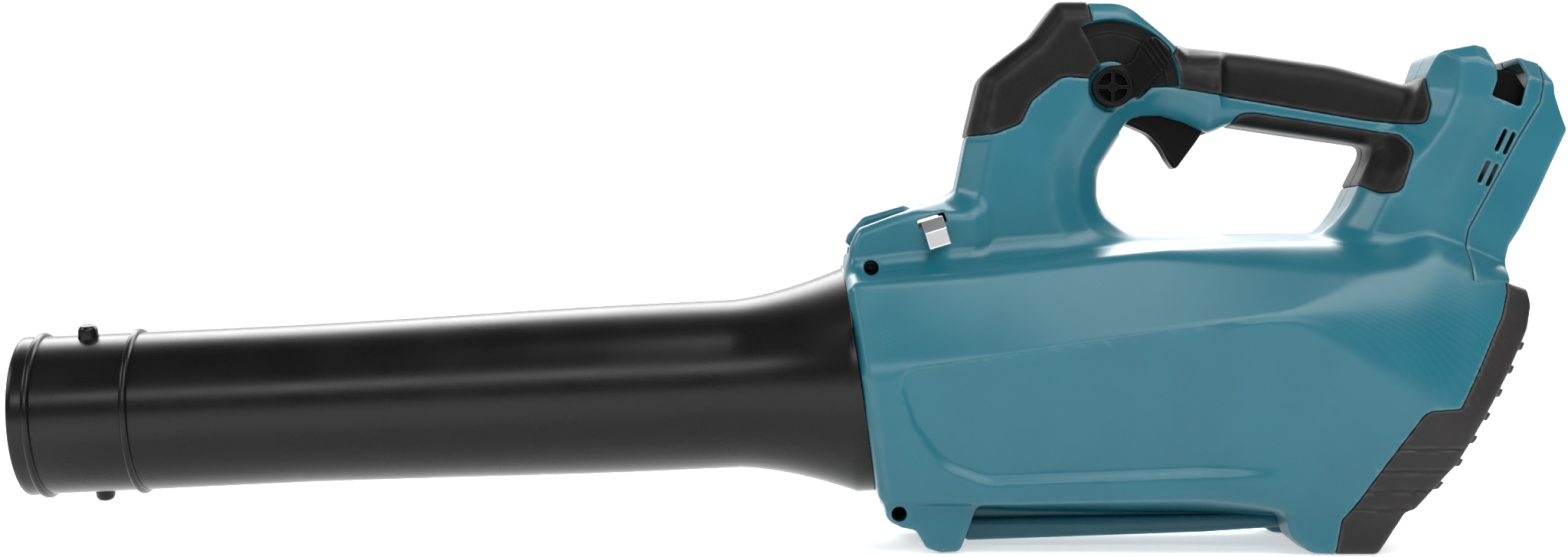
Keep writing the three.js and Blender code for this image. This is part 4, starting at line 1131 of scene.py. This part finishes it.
def build_impeller():
    """Mixed-flow fan: a tapering hub and twisted blades with round roots."""
    step = 0.8 * FINE
    g = Grid([175, -53, 34], [214, 53, 146], step)
    along, radius = turned_frame(g.x, g.w, g.z)
    up = (g.z - DUCT_Z) * math.cos(DUCT_TILT) - (g.x - DUCT_X) * math.sin(DUCT_TILT)
    angle = np.arctan2(g.w + 0 * up, up + 0 * g.w)
    hub_r = np.interp(along, [147, 158, 168, 173], [31, 30.3, 25, 15]).astype(np.float32)
    hub = both(both((radius - hub_r) * 0.85, 147 - along, 1.0), along - 173, 1.5)
    sweep = angle - (along - 159.5) * 0.75 / np.maximum(radius, 20) * (1 + 0.004 * (radius - 30))
    share = 2 * math.pi / BLADES
    offset = np.abs((sweep / share) % 1.0 - 0.5) * share * radius * 0.8
    blade = both(offset - 1.0, radius - 50.4, 0.6)
    blade = both(blade, np.abs(along - 159.5) - 12.4 + 0.1 * (radius - 30), 0.8)
    field = either(hub, blade, 2.0)
    field = without(field, radius - 4.3 + 0 * along)
    points, triangles, quads, normals, bend = surface(g, field, 0.01)
    piece = object_from("impeller_skin", points, [triangles, quads], normals, edge_wear_and_highlight(bend))
    placed(piece, "rotor", "fan_plastic", nylon, "impeller")


build_body()
build_tube()
build_trigger()
build_pin()
build_lever()
build_liner()
build_latch()
build_strap()
build_screws()
build_impeller()

# -------- CAD nodes that stay in view

for row in frame["record"]["subparts"]:
    node = frame["nodes"].get(row["node"])
    if node is not None:
        node.data.materials.clear()
        node.data.materials.append(SLOT_MATERIALS[row["material_slot"]])

# -------- stage

FLOOR_GLOW = 0.52
WALL_GLOW = 0.95
WORLD_GLOW = 0.06
LENS_MM = 58.008
CAMERA_BACK = 1.26
CAMERA_UP = 0.1309


def softbox(name, place, target, size, power):
    """A rectangular area light that faces its target."""
    lamp = bpy.data.lights.new(name, "AREA")
    lamp.shape = "RECTANGLE"
    lamp.size, lamp.size_y = size
    lamp.energy = power
    made = bpy.data.objects.new(name, lamp)
    made.location = place
    made.rotation_euler = (Vector(target) - Vector(place)).to_track_quat("-Z", "Y").to_euler()
    bpy.context.scene.collection.objects.link(made)


def build_stage():
    """Pale paper floor and wall, a softbox behind and above, and three from the camera's side."""
    bpy.ops.mesh.primitive_plane_add(size=16, location=(0, 5, -0.0005))
    floor = bpy.context.object
    floor.name = "floor"
    bpy.ops.mesh.primitive_plane_add(size=24, location=(0, 7, 5), rotation=(math.pi / 2, 0, 0))
    wall = bpy.context.object
    wall.name = "wall"
    for sheet, glow in ((floor, FLOOR_GLOW), (wall, WALL_GLOW)):
        paper = plastic(f"{sheet.name}_paper", (0.90, 0.90, 0.90), 0.85, bump=0.0, mottle=0.004, edge=0.0)
        shader = paper.node_tree.nodes["Principled BSDF"]
        shader.inputs["Emission Color"].default_value = (1, 1, 1, 1)
        shader.inputs["Emission Strength"].default_value = glow
        sheet.data.materials.append(paper)

    world = bpy.data.worlds.new("studio")
    bpy.context.scene.world = world
    world.use_nodes = True
    backdrop = world.node_tree.nodes["Background"]
    backdrop.inputs["Color"].default_value = (0.95, 0.98, 1.0, 1)
    backdrop.inputs["Strength"].default_value = WORLD_GLOW

    softbox("overhead", (0.1, 1.15, 1.20), (0.05, 0.0, 0.1), (2.8, 0.8), 52)
    softbox("high_front", (0.7, -0.95, 1.75), (0.2, 0.0, 0.12), (1.7, 1.3), 36)
    softbox("front_strip", (-0.1, -2.3, 1.15), (0, 0, 0.1), (2.4, 0.30), 22)
    softbox("left_box", (-1.7, -0.5, 1.2), (0.1, 0, 0.15), (0.8, 0.8), 15)

    lens = bpy.data.cameras.new("camera")
    lens.sensor_width = 36
    lens.lens = LENS_MM
    lens.clip_end = 50
    eye = bpy.data.objects.new("camera", lens)
    eye.location = (0.0, -CAMERA_BACK, CAMERA_UP)
    eye.rotation_euler = (math.pi / 2, 0, 0)
    bpy.context.scene.collection.objects.link(eye)
    bpy.context.scene.camera = eye
    bpy.context.scene.view_settings.view_transform = "Standard"


build_stage()
